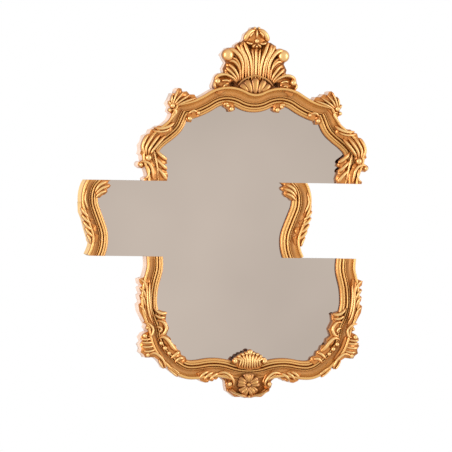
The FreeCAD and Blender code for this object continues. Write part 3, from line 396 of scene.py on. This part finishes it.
gilt_moulding = gilding("gilt_moulding", (136, 70, 20), (194, 122, 48), (216, 166, 94))
gilt_carving = gilding("gilt_carving", (92, 42, 10), (200, 126, 50), (224, 182, 116), roughness=0.3)
gilt_flower = gilding("gilt_flower", (84, 40, 12), (150, 92, 38), (196, 142, 74))

# Bronze paint behind the carving: colour, metallic, roughness, fineness and relief of the grain

bronze_cove = plain("bronze_cove", (198, 136, 66), 0.25, 0.45, 12.0, 0.02)
bronze_apron = plain("bronze_apron", (180, 116, 52), 0.5, 0.45, 12.0, 0.02)
# crest_shade is painted shade: the ground behind the crest carving darkened for the shadow in its deep
# hollows
crest_shade = plain("crest_shade", (136, 80, 32), 0.4, 0.6, 20.0, 0.05)

# Outer walls, back and pane, with the stretch of a wood's grain

# Painted highlight: the gilded walls of the middle slice are coloured pale for the bright edge that the
# left light makes
highlit_gilt_wall = plain("highlit_gilt_wall", (236, 192, 122), 0.4, 0.45, 12.0, 0.02)
# Painted shade: dark brown for the walls that lie in shadow over the glass and at the sight edge
shade_brown = plain("shade_brown", (72, 50, 38), 0.0, 0.7, 40.0, 0.05)
side_gesso = plain("side_gesso", (226, 196, 176), 0.0, 0.65, 40.0, 0.05)
bare_wood = plain("bare_wood", (196, 160, 118), 0.0, 0.7, 14.0, 0.2, (1, 1, 0.08))
# The pane's warm grey is partly the glass's own tint and partly a painted reflection of a taupe room
mirror_pane = plain("mirror_pane", (200, 186, 174), 1.0, 0.02, 1.2, 0.0)
plywood = plain("plywood", (104, 82, 66), 0.0, 0.7, 10.0, 0.2, (1, 1, 0.06))

# Fittings

foam = plain("foam", (235, 235, 230), 0.0, 0.9, 300.0)
zinc = plain("zinc", (190, 192, 196), 1.0, 0.35, 400.0)
steel_strap = plain("steel_strap", (176, 176, 178), 1.0, 0.32, 300.0, 0.1, (0.1, 1, 1))
steel_ring = plain("steel_ring", (196, 196, 198), 1.0, 0.2, 300.0, 0.05)
felt = plain("felt", (70, 66, 62), 0.0, 1.0, 500.0, 0.6)

# Outer walls are bare gesso, but gilded on the middle slice and paler there as a painted highlight;
# walls over the glass are dark brown as painted shade

HIGHLIT_GILT_WALLS = ("middle_stile", "middle_outer")
SHADED_WALLS = (
    "bottom_shell",
    "upper_inner",
    "middle_inner",
    "lower_inner",
    "top_curl",
    "shoulder_curl",
)


def wall_finish(node):
    if node.startswith(HIGHLIT_GILT_WALLS):
        return highlit_gilt_wall
    if node.startswith(SHADED_WALLS):
        return shade_brown
    return side_gesso


def finishes(node, gilt):
    """A piece's materials for GILT, COVE, SIDE and BARE faces."""
    return [gilt, bronze_cove, wall_finish(node), bare_wood]


# Mouldings

MITRE_INNER = (-207.0, 204.0)
MITRE_OUTER = (-262.0, 246.0)


def mitre_normal():
    """Square to the left mitre, towards the rail."""
    run = put(*MITRE_OUTER, 0) - put(*MITRE_INNER, 0)
    return Vector((run.z, 0, -run.x)).normalized()


def close_ends(bm):
    """Bare wood over the open ends of a run of moulding."""
    rim = [edge for edge in bm.edges if edge.is_boundary]
    ends = bmesh.ops.edgeloop_fill(bm, edges=rim)["faces"]
    for end in ends:
        end.material_index = BARE
    bmesh.ops.triangulate(bm, faces=ends)


def swept(line, bands, cuts):
    """The whole section along a line, cut square or mitred by planes."""
    bm = bmesh.new()
    bm.verts.layers.float.new(WEAR_AND_SHADE)
    arcs = line_of_arcs(line)
    for slot, band in bands:
        sweep_band(bm, arcs, band, slot)
    bmesh.ops.remove_doubles(bm, verts=bm.verts, dist=MERGE)
    close_ends(bm)
    for point, normal in cuts:
        cut_away(bm, point, normal)
    return bm


def moulding_piece(bm, node):
    materials = finishes(node, gilt_moulding) + [shade_brown]
    piece = finish_mesh(bm, node + "_look", materials, MOULDED_SHARP)
    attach(piece, "mirror")
    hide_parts(node)


def moulding(node, line, cuts, mirrored_about=None):
    bm = swept(line, INNER_BANDS + OUTER_BANDS, cuts)
    if mirrored_about is not None:
        mirror_mesh(bm, mirrored_about)
    moulding_piece(bm, node)


def joined(meshes):
    """Several meshes as one."""
    whole = bmesh.new()
    for part in meshes:
        holder = bpy.data.meshes.new("part")
        part.to_mesh(holder)
        part.free()
        whole.from_mesh(holder)
        bpy.data.meshes.remove(holder)
    return whole


to_rail = mitre_normal()
to_rail_right = Vector((-to_rail.x, 0, to_rail.z))
left_mitre = put(*MITRE_INNER, 0)
right_mitre = Vector((-left_mitre.x, left_mitre.y, left_mitre.z))
upper_cut = put(0, 0, 0)
lower_cut = put(0, LOWER_CUT, 0)

moulding("top_rail", TOP_LINE, [(left_mitre, -to_rail), (right_mitre, -to_rail_right)])

upper_ends = [(left_mitre, to_rail), (upper_cut, CUT_DOWN)]
lower_end = [(lower_cut, CUT_UP)]
for side, axis in (("left", None), ("right", 0.0)):
    moulding("upper_stile_" + side, UPPER_LINE, upper_ends, axis)
    moulding("lower_stile_" + side, LOWER_LINE, lower_end, axis)

middle_ends = [(upper_cut, CUT_UP), (lower_cut, CUT_DOWN)]
shifted_line = [(x - SLICE_SHIFT / SQUARE, z, heading) for x, z, heading in MIDDLE_LINE]
moulding("middle_stile_left", shifted_line, middle_ends)
moulding("middle_stile_right", shifted_line, middle_ends, -SLICE_SHIFT)

# The bottom rail has no outer round over the apron

APRON_HALF = 56.0
apron_left = put(-APRON_HALF, 0, 0)
apron_right = put(APRON_HALF, 0, 0)
moulding_piece(joined([
    swept(BOTTOM_LINE, INNER_BANDS + OUTER_BANDS, [(apron_left, RIGHTWARD)]),
    swept(BOTTOM_LINE, INNER_BANDS + COVE_ENDED, [(apron_left, LEFTWARD), (apron_right, RIGHTWARD)]),
    swept(BOTTOM_LINE, INNER_BANDS + OUTER_BANDS, [(apron_right, LEFTWARD)]),
]), "bottom_rail")

# Carving: blades and balls laid on the leaf's own ground

NEAR_END = 0.9999
ROWS_EACH = 8
ROWS_MORE = 6
COLUMNS_EACH = 8
END_LEAST = 0.02
END_SQUARENESS = 5
DOME_REACH = 0.98
GROOVE_FLOOR = 0.6
LEAST_RISE = 0.25
BOW_START = 0.08
SUNK = 2.0
BALL_MERIDIANS = 14
BALL_RINGS = 10
BALL_PROUD = 1.0
TALL_WALL = 20.0 * MM
FACING_BACK = 0.9
UPRIGHT = 0.3


def along_curve(points, share):
    """A point and a heading on the smooth curve through the points."""
    last = len(points) - 1
    reach = min(share, NEAR_END) * last
    i = int(reach)
    t = reach - i
    p1 = Vector(points[i])
    p2 = Vector(points[i + 1])
    p0 = Vector(points[i - 1]) if i > 0 else p1 * 2 - p2
    p3 = Vector(points[i + 2]) if i + 2 <= last else p2 * 2 - p1
    a = 2 * p1
    b = p2 - p0
    c = 2 * p0 - 5 * p1 + 4 * p2 - p3
    d = -p0 + 3 * p1 - 3 * p2 + p3
    point = (a + b * t + c * t**2 + d * t**3) / 2
    heading = (b + 2 * c * t + 3 * d * t**2) / 2
    return point, heading.normalized()


def width_along(share):
    """The share of its width that a blade has along its length, drawn in round at both ends."""
    return math.sqrt(max(END_LEAST, 1 - abs(2 * share - 1) ** END_SQUARENESS))


def rise_along(share):
    """The share of its height that a blade has along its length, least at its ends."""
    return LEAST_RISE + (1 - LEAST_RISE) * math.sin(math.pi * (BOW_START + (1 - 2 * BOW_START) * share))


def dome_across(across, cords):
    """The share of its height that a blade has from edge to edge, with a groove between cords."""
    dome = math.sqrt(max(0.0, 1 - (DOME_REACH * across) ** 2))
    if cords > 1:
        round_cord = math.sqrt(abs(math.sin(math.pi * cords * (across + 1) / 2)))
        dome *= GROOVE_FLOOR + (1 - GROOVE_FLOOR) * round_cord
    return dome


def strand(bm, place, points, root, tip, floor, crown, grooves=0):
    """A domed blade along a curve, with grooves along it, closed at its sides and back."""
    cords = grooves + 1
    rows = ROWS_EACH * (len(points) - 1) + ROWS_MORE
    made = bmesh.ops.create_grid(bm, x_segments=rows, y_segments=COLUMNS_EACH * cords, size=1.0)
    grid = made["verts"]
    on_curve = {}
    for vert in grid:
        share = (vert.co.x + 1) / 2
        across = vert.co.y
        if cords == 1:
            across = math.sin(math.pi / 2 * across)
        if share not in on_curve:
            on_curve[share] = along_curve(points, share)
        point, heading = on_curve[share]
        half = (root + (tip - root) * share) / 2 * width_along(share)
        lift = (crown - floor) * dome_across(across, cords) * rise_along(share)
        side = Vector((-heading.y, heading.x)) * half * across
        vert.co = place(point.x + side.x, point.y + side.y, floor + lift)
    rim = list(dict.fromkeys(e for v in grid for e in v.link_edges if e.is_boundary))
    skirt = bmesh.ops.extrude_edge_only(bm, edges=rim)["geom"]
    for item in skirt:
        if isinstance(item, bmesh.types.BMVert):
            item.co.y = -(floor - SUNK) * MM
    base = [item for item in skirt if isinstance(item, bmesh.types.BMEdge)]
    bmesh.ops.edgeloop_fill(bm, edges=base)


def ball(bm, place, across, up, radius, floor, crown):
    """A carved button: a sphere pressed to the depth of the carving."""
    squash = Matrix.Diagonal((radius * MM, (crown - floor) * MM, radius * MM, 1.0))
    bmesh.ops.create_uvsphere(
        bm,
        u_segments=BALL_MERIDIANS,
        v_segments=BALL_RINGS,
        radius=1.0,
        matrix=Matrix.Translation(place(across, up, floor)) @ squash,
    )


def ground_of(node, level):
    """The node's own solid, merged and taken down to a level for the carving to stand on."""
    bm = bmesh.new()
    bm.from_mesh(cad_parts[node].data)
    bmesh.ops.remove_doubles(bm, verts=bm.verts, dist=MERGE)
    cut_away(bm, (0, -level * MM, 0), TOWARDS_ROOM)
    bmesh.ops.recalc_face_normals(bm, faces=bm.faces)
    return bm


def colour_ground(bm):
    """Gilt in front, the finish of the outer walls on the tall sides, bare wood behind."""
    for face in bm.faces:
        levels = [v.co.y for v in face.verts]
        if max(levels) - min(levels) > TALL_WALL and abs(face.normal.y) < UPRIGHT:
            face.material_index = SIDE
        elif face.normal.y > FACING_BACK:
            face.material_index = BARE
        else:
            face.material_index = GILT


def on_the_axis(points):
    return all(across == 0 for across, up in points)


def carve(bm, place, strands, balls, ground, crown, second_side):
    """Lays the blades and balls of one side, and what lies on the axis with the first side only."""
    for root, tip, points, *grooves in strands:
        if second_side and on_the_axis(points):
            continue
        strand(bm, place, points, root, tip, ground, crown, *grooves)
    for across, up, radius in balls:
        if second_side and across == 0:
            continue
        ball(bm, place, across, up, radius, ground, crown + BALL_PROUD)


def carving(
    node, strands=(), balls=(), *, ground, crown=59.5, sides=(1,), centre=0.0, finish=gilt_carving
):
    """A node's ground with its blades (root width, tip width, points, grooves) and balls on it."""
    bm = ground_of(node, ground)
    wear_and_shade = bm.verts.layers.float.new(WEAR_AND_SHADE)
    ground_verts = set(bm.verts)
    colour_ground(bm)
    for side in sides:
        def place(across, up, level):
            return put(centre + side * across, up, level)
        carve(bm, place, strands, balls, ground, crown, side != sides[0])
    # Painted shade: the ground sits at one darkish value, and each blade and ball is darkest where it
    # meets the ground, paler up to its crown
    for vert in bm.verts:
        share = (-vert.co.y / MM - ground) / (crown - ground)
        vert[wear_and_shade] = GROUND_SHADE_AND_WEAR if vert in ground_verts else max(0.0, min(1.0, share))
    piece = finish_mesh(bm, node + "_look", finishes(node, finish), CARVED_SHARP)
    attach(piece, "mirror")
    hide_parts(node)


def carved_pair(name, strands, balls=(), *, ground, crown, centre=0.0):
    """The left piece as drawn, and the right one as its mirror image."""
    for side, sign in (("_left", 1), ("_right", -1)):
        carving(
            name + side, strands, balls, ground=ground, crown=crown, sides=(sign,), centre=centre
        )


# Crest: a fan of fluted blades between two scrolls, under a flower head

# The crest's back ground is painted shade
carving("crest_back", ground=36.0, finish=crest_shade)

carving("crest_stem", [
    (11, 13, [(0, 330), (0, 390), (0, 434)]),
    (7, 11, [(-9, 330), (-10, 390), (-14, 432)]),
    (7, 11, [(9, 330), (10, 390), (14, 432)]),
], ground=44.0, crown=57.0)
carving("crest_finial", [
    (14, 18, [(-5, 493), (-22, 487), (-34, 472), (-39, 456)]),
    (8, 10, [(-9, 487), (-17, 480), (-24, 468)]),
    (8, 9, [(0, 495), (0, 481), (0, 466)]),
    (9, 8, [(-11, 449), (-23, 448), (-35, 453)]),
    (7, 9, [(-3, 447), (-11, 441), (-14, 435)]),
], [(0, 457, 9), (-7, 498, 5), (0, 439, 5)], ground=50.0, crown=61.0, sides=(1, -1))
carved_pair("crest_inner_leaf", [
    (10, 17, [(-14, 330), (-16, 373), (-22, 402), (-32, 428), (-41, 453)]),
    (10, 15, [(-24, 330), (-27, 373), (-35, 402), (-46, 424), (-53, 446)]),
], ground=46.0, crown=62.0)
carved_pair("crest_volute", [
    (9, 16, [(-33, 328), (-35, 377), (-43, 406), (-56, 428), (-66, 443)]),
    (12, 19, [(-43, 328), (-44, 373), (-51, 397), (-63, 415), (-79, 426), (-97, 424)]),
    (7, 8, [(-52, 352), (-57, 380), (-68, 396), (-81, 402)]),
], [(-94, 410, 21)], ground=43.0, crown=60.5)
carved_pair("crest_side_leaf", [
    (10, 14, [(-49, 328), (-53, 362), (-62, 380), (-76, 391), (-92, 391)]),
    (9, 14, [(-54, 326), (-62, 348), (-75, 367), (-91, 381)]),
    (8, 13, [(-58, 323), (-70, 341), (-86, 357), (-99, 370)]),
    (8, 11, [(-61, 321), (-76, 334), (-92, 346), (-103, 356)]),
], ground=42.0, crown=55.0)
carved_pair("crest_lower_volute", [
    (9, 14, [(-62, 324), (-80, 338), (-104, 347), (-126, 342), (-138, 328)]),
    (10, 9, [(-137, 324), (-139, 312), (-133, 300)]),
    (8, 10, [(-84, 321), (-98, 328), (-116, 326)]),
    (7, 9, [(-92, 311), (-103, 313), (-112, 304)]),
], [(-129, 325, 12)], ground=44.0, crown=59.5)
carving("crest_shell", [
    (16, 30, [(0, 286), (0, 312), (0, 338)]),
    (12, 26, [(-13, 288), (-20, 309), (-32, 330)]),
    (12, 26, [(13, 288), (20, 309), (32, 330)]),
    (10, 22, [(-23, 294), (-35, 304), (-50, 316)]),
    (10, 22, [(23, 294), (35, 304), (50, 316)]),
    (8, 8, [(-61, 311), (-43, 330), (-20, 341), (0, 345), (20, 341), (43, 330), (61, 311)]),
], ground=49.0, crown=57.0, finish=gilt_flower)

# Leaves and scrolls outside the upper slice

carved_pair("shoulder_leaf", [
    (9, 8, [(-281, 243), (-273, 270), (-260, 297)]),
    (8, 8, [(-283, 245), (-284, 262), (-280, 279)]),
    (8, 8, [(-285, 243), (-290, 251), (-294, 257)]),
    (9, 8, [(-275, 246), (-262, 267), (-244, 287)]),
    (9, 8, [(-272, 244), (-250, 261), (-222, 279)]),
    (9, 8, [(-268, 241), (-239, 256), (-200, 269)]),
    (12, 8, [(-296, 181), (-279, 206), (-268, 222), (-272, 231), (-283, 228)]),
], [(-280, 243, 10), (-289, 228, 7)], ground=51.0, crown=63.5)
carved_pair("upper_acanthus", [
    (10, 13, [(-370, 80), (-378, 106), (-372, 129), (-358, 150)]),
    (10, 13, [(-364, 82), (-366, 106), (-355, 130), (-338, 153)]),
    (10, 13, [(-357, 84), (-353, 104), (-339, 126), (-319, 150)]),
    (10, 12, [(-350, 86), (-340, 102), (-322, 124), (-302, 146)]),
    (13, 10, [(-272, 188), (-292, 175), (-315, 168), (-341, 170)]),
    (10, 9, [(-285, 168), (-304, 160), (-326, 158), (-346, 162)]),
], [(-357, 74, 12)], ground=51.0, crown=63.5)
carved_pair("upper_scroll", [
    (10, 12, [(-384, 58), (-372, 62), (-356, 57), (-345, 41), (-341, 23), (-337, 3)]),
    (9, 8, [(-358, 48), (-354, 30), (-358, 13), (-369, 6)]),
], [(-382, 51, 8)], ground=51.0, crown=62.0)

# Curls and leaves at the sight edge of the upper slice

carved_pair("top_curl", [
    (9, 9, [(-106, 249), (-96, 253), (-86, 250)]),
], [(-91, 246, 7), (-78, 236, 9)], ground=41.0, crown=51.0)
carved_pair("shoulder_curl", [
    (9, 9, [(-222, 217), (-208, 228), (-191, 224)]),
], [(-189, 221, 7), (-218, 203, 9)], ground=41.0, crown=51.0)
carved_pair("upper_inner_leaf", [
    (10, 15, [(-332, 103), (-314, 84), (-291, 67)]),
    (10, 15, [(-329, 74), (-310, 54), (-290, 37)]),
    (10, 15, [(-325, 45), (-306, 25), (-290, 4)]),
    (9, 9, [(-321, 4), (-324, 40), (-331, 74), (-340, 104)]),
], ground=41.0, crown=51.0)

# Middle slice

MIDDLE = -SLICE_SHIFT
carved_pair("middle_outer_leaf", [
    (10, 12, [(-389, -90), (-376, -108), (-362, -121)]),
    (10, 12, [(-387, -111), (-372, -129), (-355, -140)]),
    (10, 12, [(-381, -132), (-368, -150), (-350, -162)]),
    (10, 12, [(-374, -152), (-363, -169), (-345, -185)]),
    (10, 8, [(-367, -174), (-359, -190), (-354, -206)]),
    (7, 9, [(-371, -28), (-377, -58), (-373, -78), (-365, -97)]),
], ground=51.0, crown=63.0, centre=MIDDLE)
carved_pair("middle_inner_leaf", [
    (9, 13, [(-341, -40), (-326, -17), (-302, -5)]),
    (9, 13, [(-339, -48), (-320, -28), (-294, -18)]),
    (9, 12, [(-338, -58), (-322, -42), (-302, -34)]),
], ground=41.0, crown=50.0, centre=MIDDLE)

# Leaves outside the lower slice

carved_pair("lower_side_leaf", [
    (9, 8, [(-352, -362), (-358, -336), (-366, -323), (-378, -316)]),
    (9, 8, [(-354, -386), (-361, -362), (-368, -351), (-377, -346)]),
    (9, 8, [(-355, -408), (-363, -382), (-369, -373), (-376, -369)]),
    (9, 8, [(-352, -441), (-362, -416), (-369, -406), (-377, -402)]),
    (9, 9, [(-355, -316), (-352, -362), (-350, -399), (-343, -432), (-331, -458)]),
    (8, 8, [(-344, -326), (-345, -362), (-342, -404), (-333, -440)]),
], [(-350, -473, 6)], ground=52.0, crown=63.0)
carved_pair("lower_corner_leaf", [
    (9, 10, [(-364, -455), (-344, -460), (-330, -477), (-333, -495), (-346, -502)]),
    (9, 9, [(-370, -508), (-356, -511), (-334, -508)]),
    (9, 10, [(-370, -520), (-350, -521), (-328, -519)]),
    (9, 10, [(-368, -533), (-348, -535), (-325, -531)]),
    (9, 10, [(-361, -547), (-344, -549), (-320, -543)]),
    (12, 9, [(-346, -560), (-322, -554), (-301, -568), (-288, -588), (-286, -604)]),
    (8, 7, [(-309, -575), (-300, -592), (-291, -604)]),
    (8, 7, [(-277, -602), (-258, -619), (-243, -630)]),
    (8, 7, [(-268, -598), (-248, -612), (-235, -623)]),
], [(-357, -499, 9), (-346, -560, 8)], ground=52.0, crown=63.0)

# Leaves at the sight edge of the lower slice, and on the bottom rail

carved_pair("lower_inner_leaf", [
    (9, 15, [(-330, -404), (-315, -420), (-299, -427), (-281, -425)]),
    (9, 13, [(-324, -430), (-305, -440), (-286, -440)]),
    (10, 14, [(-316, -450), (-295, -454), (-283, -473), (-289, -491), (-303, -498)]),
    (10, 10, [(-316, -470), (-303, -472), (-299, -481), (-307, -488)]),
    (10, 18, [(-309, -508), (-291, -503), (-274, -516), (-260, -534), (-245, -548)]),
    (11, 13, [(-264, -572), (-248, -557), (-234, -551)]),
    (10, 13, [(-252, -585), (-236, -571), (-220, -573)]),
], [(-299, -523, 9), (-286, -539, 9), (-272, -555, 8)], ground=41.0, crown=52.0)
carved_pair("bottom_leaf", [
    (12, 9, [(-106, -618), (-124, -627), (-137, -640)]),
    (12, 9, [(-124, -615), (-142, -624), (-156, -640)]),
    (12, 9, [(-140, -612), (-158, -621), (-172, -636)]),
], ground=52.0, crown=63.0)

# Shell over the bottom rail, its ribs bowed like the strings of a lyre, with balls at its rim

FAN_RIBS = range(-4, 5)
RIB_FOOT_WIDTH = 8
RIB_TIP_WIDTH = 12
RIM_BALL = 6.5
FAN_BALLS = [(0, -551, 11), (-50, -579, 10), (50, -579, 10)]


def on_the_fan(i, apart, up, bow):
    """A point of rib i, on a row that bows from its height at the axis."""
    return (i * apart, up + bow * i * i)


def fan_rib(i):
    foot = on_the_fan(i, 9.0, -605, 0.4)
    waist = on_the_fan(i, 8.0, -579, 0.2)
    tip = on_the_fan(i, 12.6, -551, -1.2)
    return (RIB_FOOT_WIDTH, RIB_TIP_WIDTH, [foot, waist, tip])


def rim_ball(i):
    return (*on_the_fan(i, 12.2, -553, -1.2), RIM_BALL)


carving(
    "bottom_shell",
    [fan_rib(i) for i in FAN_RIBS],
    FAN_BALLS + [rim_ball(i) for i in FAN_RIBS],
    ground=48.0,
    crown=60.0,
)

# Apron: the outer round turns in to a pair of scrolls, with a flower between

carving("apron", ground=36.0, finish=bronze_apron)

carved_pair("apron_scroll", [
    (13, 10, [(-112, -621), (-87, -616), (-68, -625), (-55, -643), (-53, -660)]),
    (6, 6, [(-104, -627), (-86, -624), (-72, -631), (-63, -643)]),
], [(-67, -653, 9)], ground=48.0, crown=62.0)
carving("apron_leaf", [
    (8, 10, [(-68, -671), (-50, -682), (-26, -690), (-4, -693)], 1),
], [(0, -694, 5)], ground=44.0, sides=(1, -1))

PETALS = 5
PETAL_REACHES = (6, 22, 38)
PETAL_ROOT_WIDTH = 20
PETAL_TIP_WIDTH = 46
PETAL_GROOVES = 2
FLOWER = (0.0, -656.0)
FLOWER_BUTTON = 8


def petal(i):
    angle = math.radians(90 + 360 * i / PETALS)
    points = []
    for reach in PETAL_REACHES:
        points.append((FLOWER[0] + reach * math.cos(angle), FLOWER[1] + reach * math.sin(angle)))
    return (PETAL_ROOT_WIDTH, PETAL_TIP_WIDTH, points, PETAL_GROOVES)


carving(
    "apron_rosette",
    [petal(i) for i in range(PETALS)],
    [(*FLOWER, FLOWER_BUTTON)],
    ground=42.0,
    crown=52.0,
    finish=gilt_flower,
)

# Hanger rings: bent wire

WIRE = 1.6
WIRE_SIDES = 16
RING_HALF = 12.0
RING_CORNER = 3.0
RING_LEG = 8.0
PIVOT_LEVEL = 4.6
CORNER_STEPS = 6
BOW_STEPS = 24
WIRE_MERGE = 0.05 * MM
HANGER_ACROSS = 210.0


def run_on(bm, geom, step):
    """Carries the wire's end straight on."""
    edges = [g for g in geom if isinstance(g, bmesh.types.BMEdge)]
    new = bmesh.ops.extrude_edge_only(bm, edges=edges)["geom"]
    verts = [g for g in new if isinstance(g, bmesh.types.BMVert)]
    bmesh.ops.translate(bm, verts=verts, vec=step)
    return new


def bend_on(bm, geom, centre, degrees, steps):
    """Carries the wire's end round a centre, seen from the room."""
    ends = [g for g in geom if not isinstance(g, bmesh.types.BMFace)]
    spun = bmesh.ops.spin(
        bm, geom=ends, cent=centre, axis=TOWARDS_ROOM, angle=math.radians(degrees), steps=steps
    )
    return spun["geom_last"]


def ring(side, across):
    """From the middle of the bar round both corners and the bow, back to the start."""
    bm = bmesh.new()
    start = put(across, HANG_RISE, PIVOT_LEVEL)
    across_wire = Matrix.Translation(start) @ Matrix.Rotation(math.radians(90), 4, "Y")
    bmesh.ops.create_circle(bm, segments=WIRE_SIDES, radius=WIRE * MM, matrix=across_wire)
    geom = bm.verts[:] + bm.edges[:]
    bar = (RING_HALF - RING_CORNER) * MM
    corner = RING_CORNER * MM
    leg = (RING_LEG - RING_CORNER) * MM
    geom = run_on(bm, geom, Vector((bar, 0, 0)))
    geom = bend_on(bm, geom, start + Vector((bar, 0, -corner)), -90, CORNER_STEPS)
    geom = run_on(bm, geom, Vector((0, 0, -leg)))
    geom = bend_on(bm, geom, start + Vector((0, 0, -RING_LEG * MM)), -180, BOW_STEPS)
    geom = run_on(bm, geom, Vector((0, 0, leg)))
    geom = bend_on(bm, geom, start + Vector((-bar, 0, -corner)), -90, CORNER_STEPS)
    run_on(bm, geom, Vector((bar, 0, 0)))
    bmesh.ops.remove_doubles(bm, verts=bm.verts, dist=WIRE_MERGE)
    piece = finish_mesh(bm, side + "_ring_look", [steel_ring])
    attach(piece, side + "_ring")
    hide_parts(side + "_hanger_ring")


ring("left", -HANGER_ACROSS)
ring("right", HANGER_ACROSS)

# CAD nodes that stay, in their own finishes

KEPT = {
    "mirror_glass": (mirror_pane, "mirror_pane"),
    "backing_board": (plywood, "plywood"),
    "mounting_tape": (foam, "foam"),
    "frame_screws": (zinc, "zinc_screws"),
    "hanger_screws": (zinc, "zinc_screws"),
    "left_hanger_plate": (steel_strap, "steel_strap"),
    "right_hanger_plate": (steel_strap, "steel_strap"),
    "wall_bumpers": (felt, "felt"),
}
for node, (material, slot_name) in KEPT.items():
    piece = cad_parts[node]
    piece.data.materials.clear()
    piece.data.materials.append(material)

# Camera: a long lens from the left, a little above the middle and rolled a little

VIEW_TURN = math.radians(-17.3)
VIEW_RISE = math.radians(1.4)
VIEW_ROLL = math.radians(1.2)
DISTANCE = 16.0
TARGET = Vector((-0.0742, 0.0, -0.3137))
LENS = 393.3
SENSOR = 36.0
FARTHEST = 100.0

back = Vector((
    math.sin(VIEW_TURN) * math.cos(VIEW_RISE),
    -math.cos(VIEW_TURN) * math.cos(VIEW_RISE),
    math.sin(VIEW_RISE),
))
right = Vector((math.cos(VIEW_TURN), math.sin(VIEW_TURN), 0.0))
up = back.cross(right)
rolled_right = right * math.cos(VIEW_ROLL) + up * math.sin(VIEW_ROLL)
rolled_up = up * math.cos(VIEW_ROLL) - right * math.sin(VIEW_ROLL)
camera_data = bpy.data.cameras.new("camera")
camera_data.lens = LENS
camera_data.sensor_width = SENSOR
camera_data.clip_end = FARTHEST
camera = bpy.data.objects.new("camera", camera_data)
turn = Matrix((rolled_right, rolled_up, back)).transposed().to_4x4()
camera.matrix_world = Matrix.Translation(TARGET + back * DISTANCE) @ turn
bpy.context.scene.collection.objects.link(camera)
bpy.context.scene.camera = camera

# Light: a white room with a tall soft box on either side

WHITE = (1.0, 1.0, 1.0, 1.0)
world = bpy.data.worlds.new("white_room")
bpy.context.scene.world = world
world.use_nodes = True
sky = world.node_tree.nodes["Background"]
sky.inputs["Color"].default_value = WHITE
sky.inputs["Strength"].default_value = 1.0

BOX_WIDE = 1.6
BOX_HIGH = 4.0
BOX_AIM = Vector((0, 0, -0.1))


def soft_box(name, place, watts):
    light = bpy.data.lights.new(name, "AREA")
    light.shape = "RECTANGLE"
    light.size = BOX_WIDE
    light.size_y = BOX_HIGH
    light.energy = watts
    lamp = bpy.data.objects.new(name, light)
    lamp.location = place
    lamp.rotation_euler = (BOX_AIM - Vector(place)).to_track_quat("-Z", "Y").to_euler()
    bpy.context.scene.collection.objects.link(lamp)


soft_box("left_box", (-4.0, -2.2, 0.2), 132)
soft_box("right_box", (3.6, -2.6, 0.2), 98)

# Floor, well below and outside the picture

FLOOR_LEVEL = -1.25
FLOOR_MIDDLE = -1.25
FLOOR_SIZE = (7.0, 5.5, 0.04)

floor_mesh = bmesh.new()
floor_place = Matrix.Translation((0, FLOOR_MIDDLE, FLOOR_LEVEL - FLOOR_SIZE[2] / 2))
bmesh.ops.create_cube(
    floor_mesh, size=1.0, matrix=floor_place @ Matrix.Diagonal((*FLOOR_SIZE, 1.0))
)
floor_material = plain("pale_floor", (236, 235, 232), 0.0, 0.8, 6.0, 0.05)
floor = finish_mesh(floor_mesh, "floor", [floor_material])

bpy.context.scene.view_settings.view_transform = "Standard"
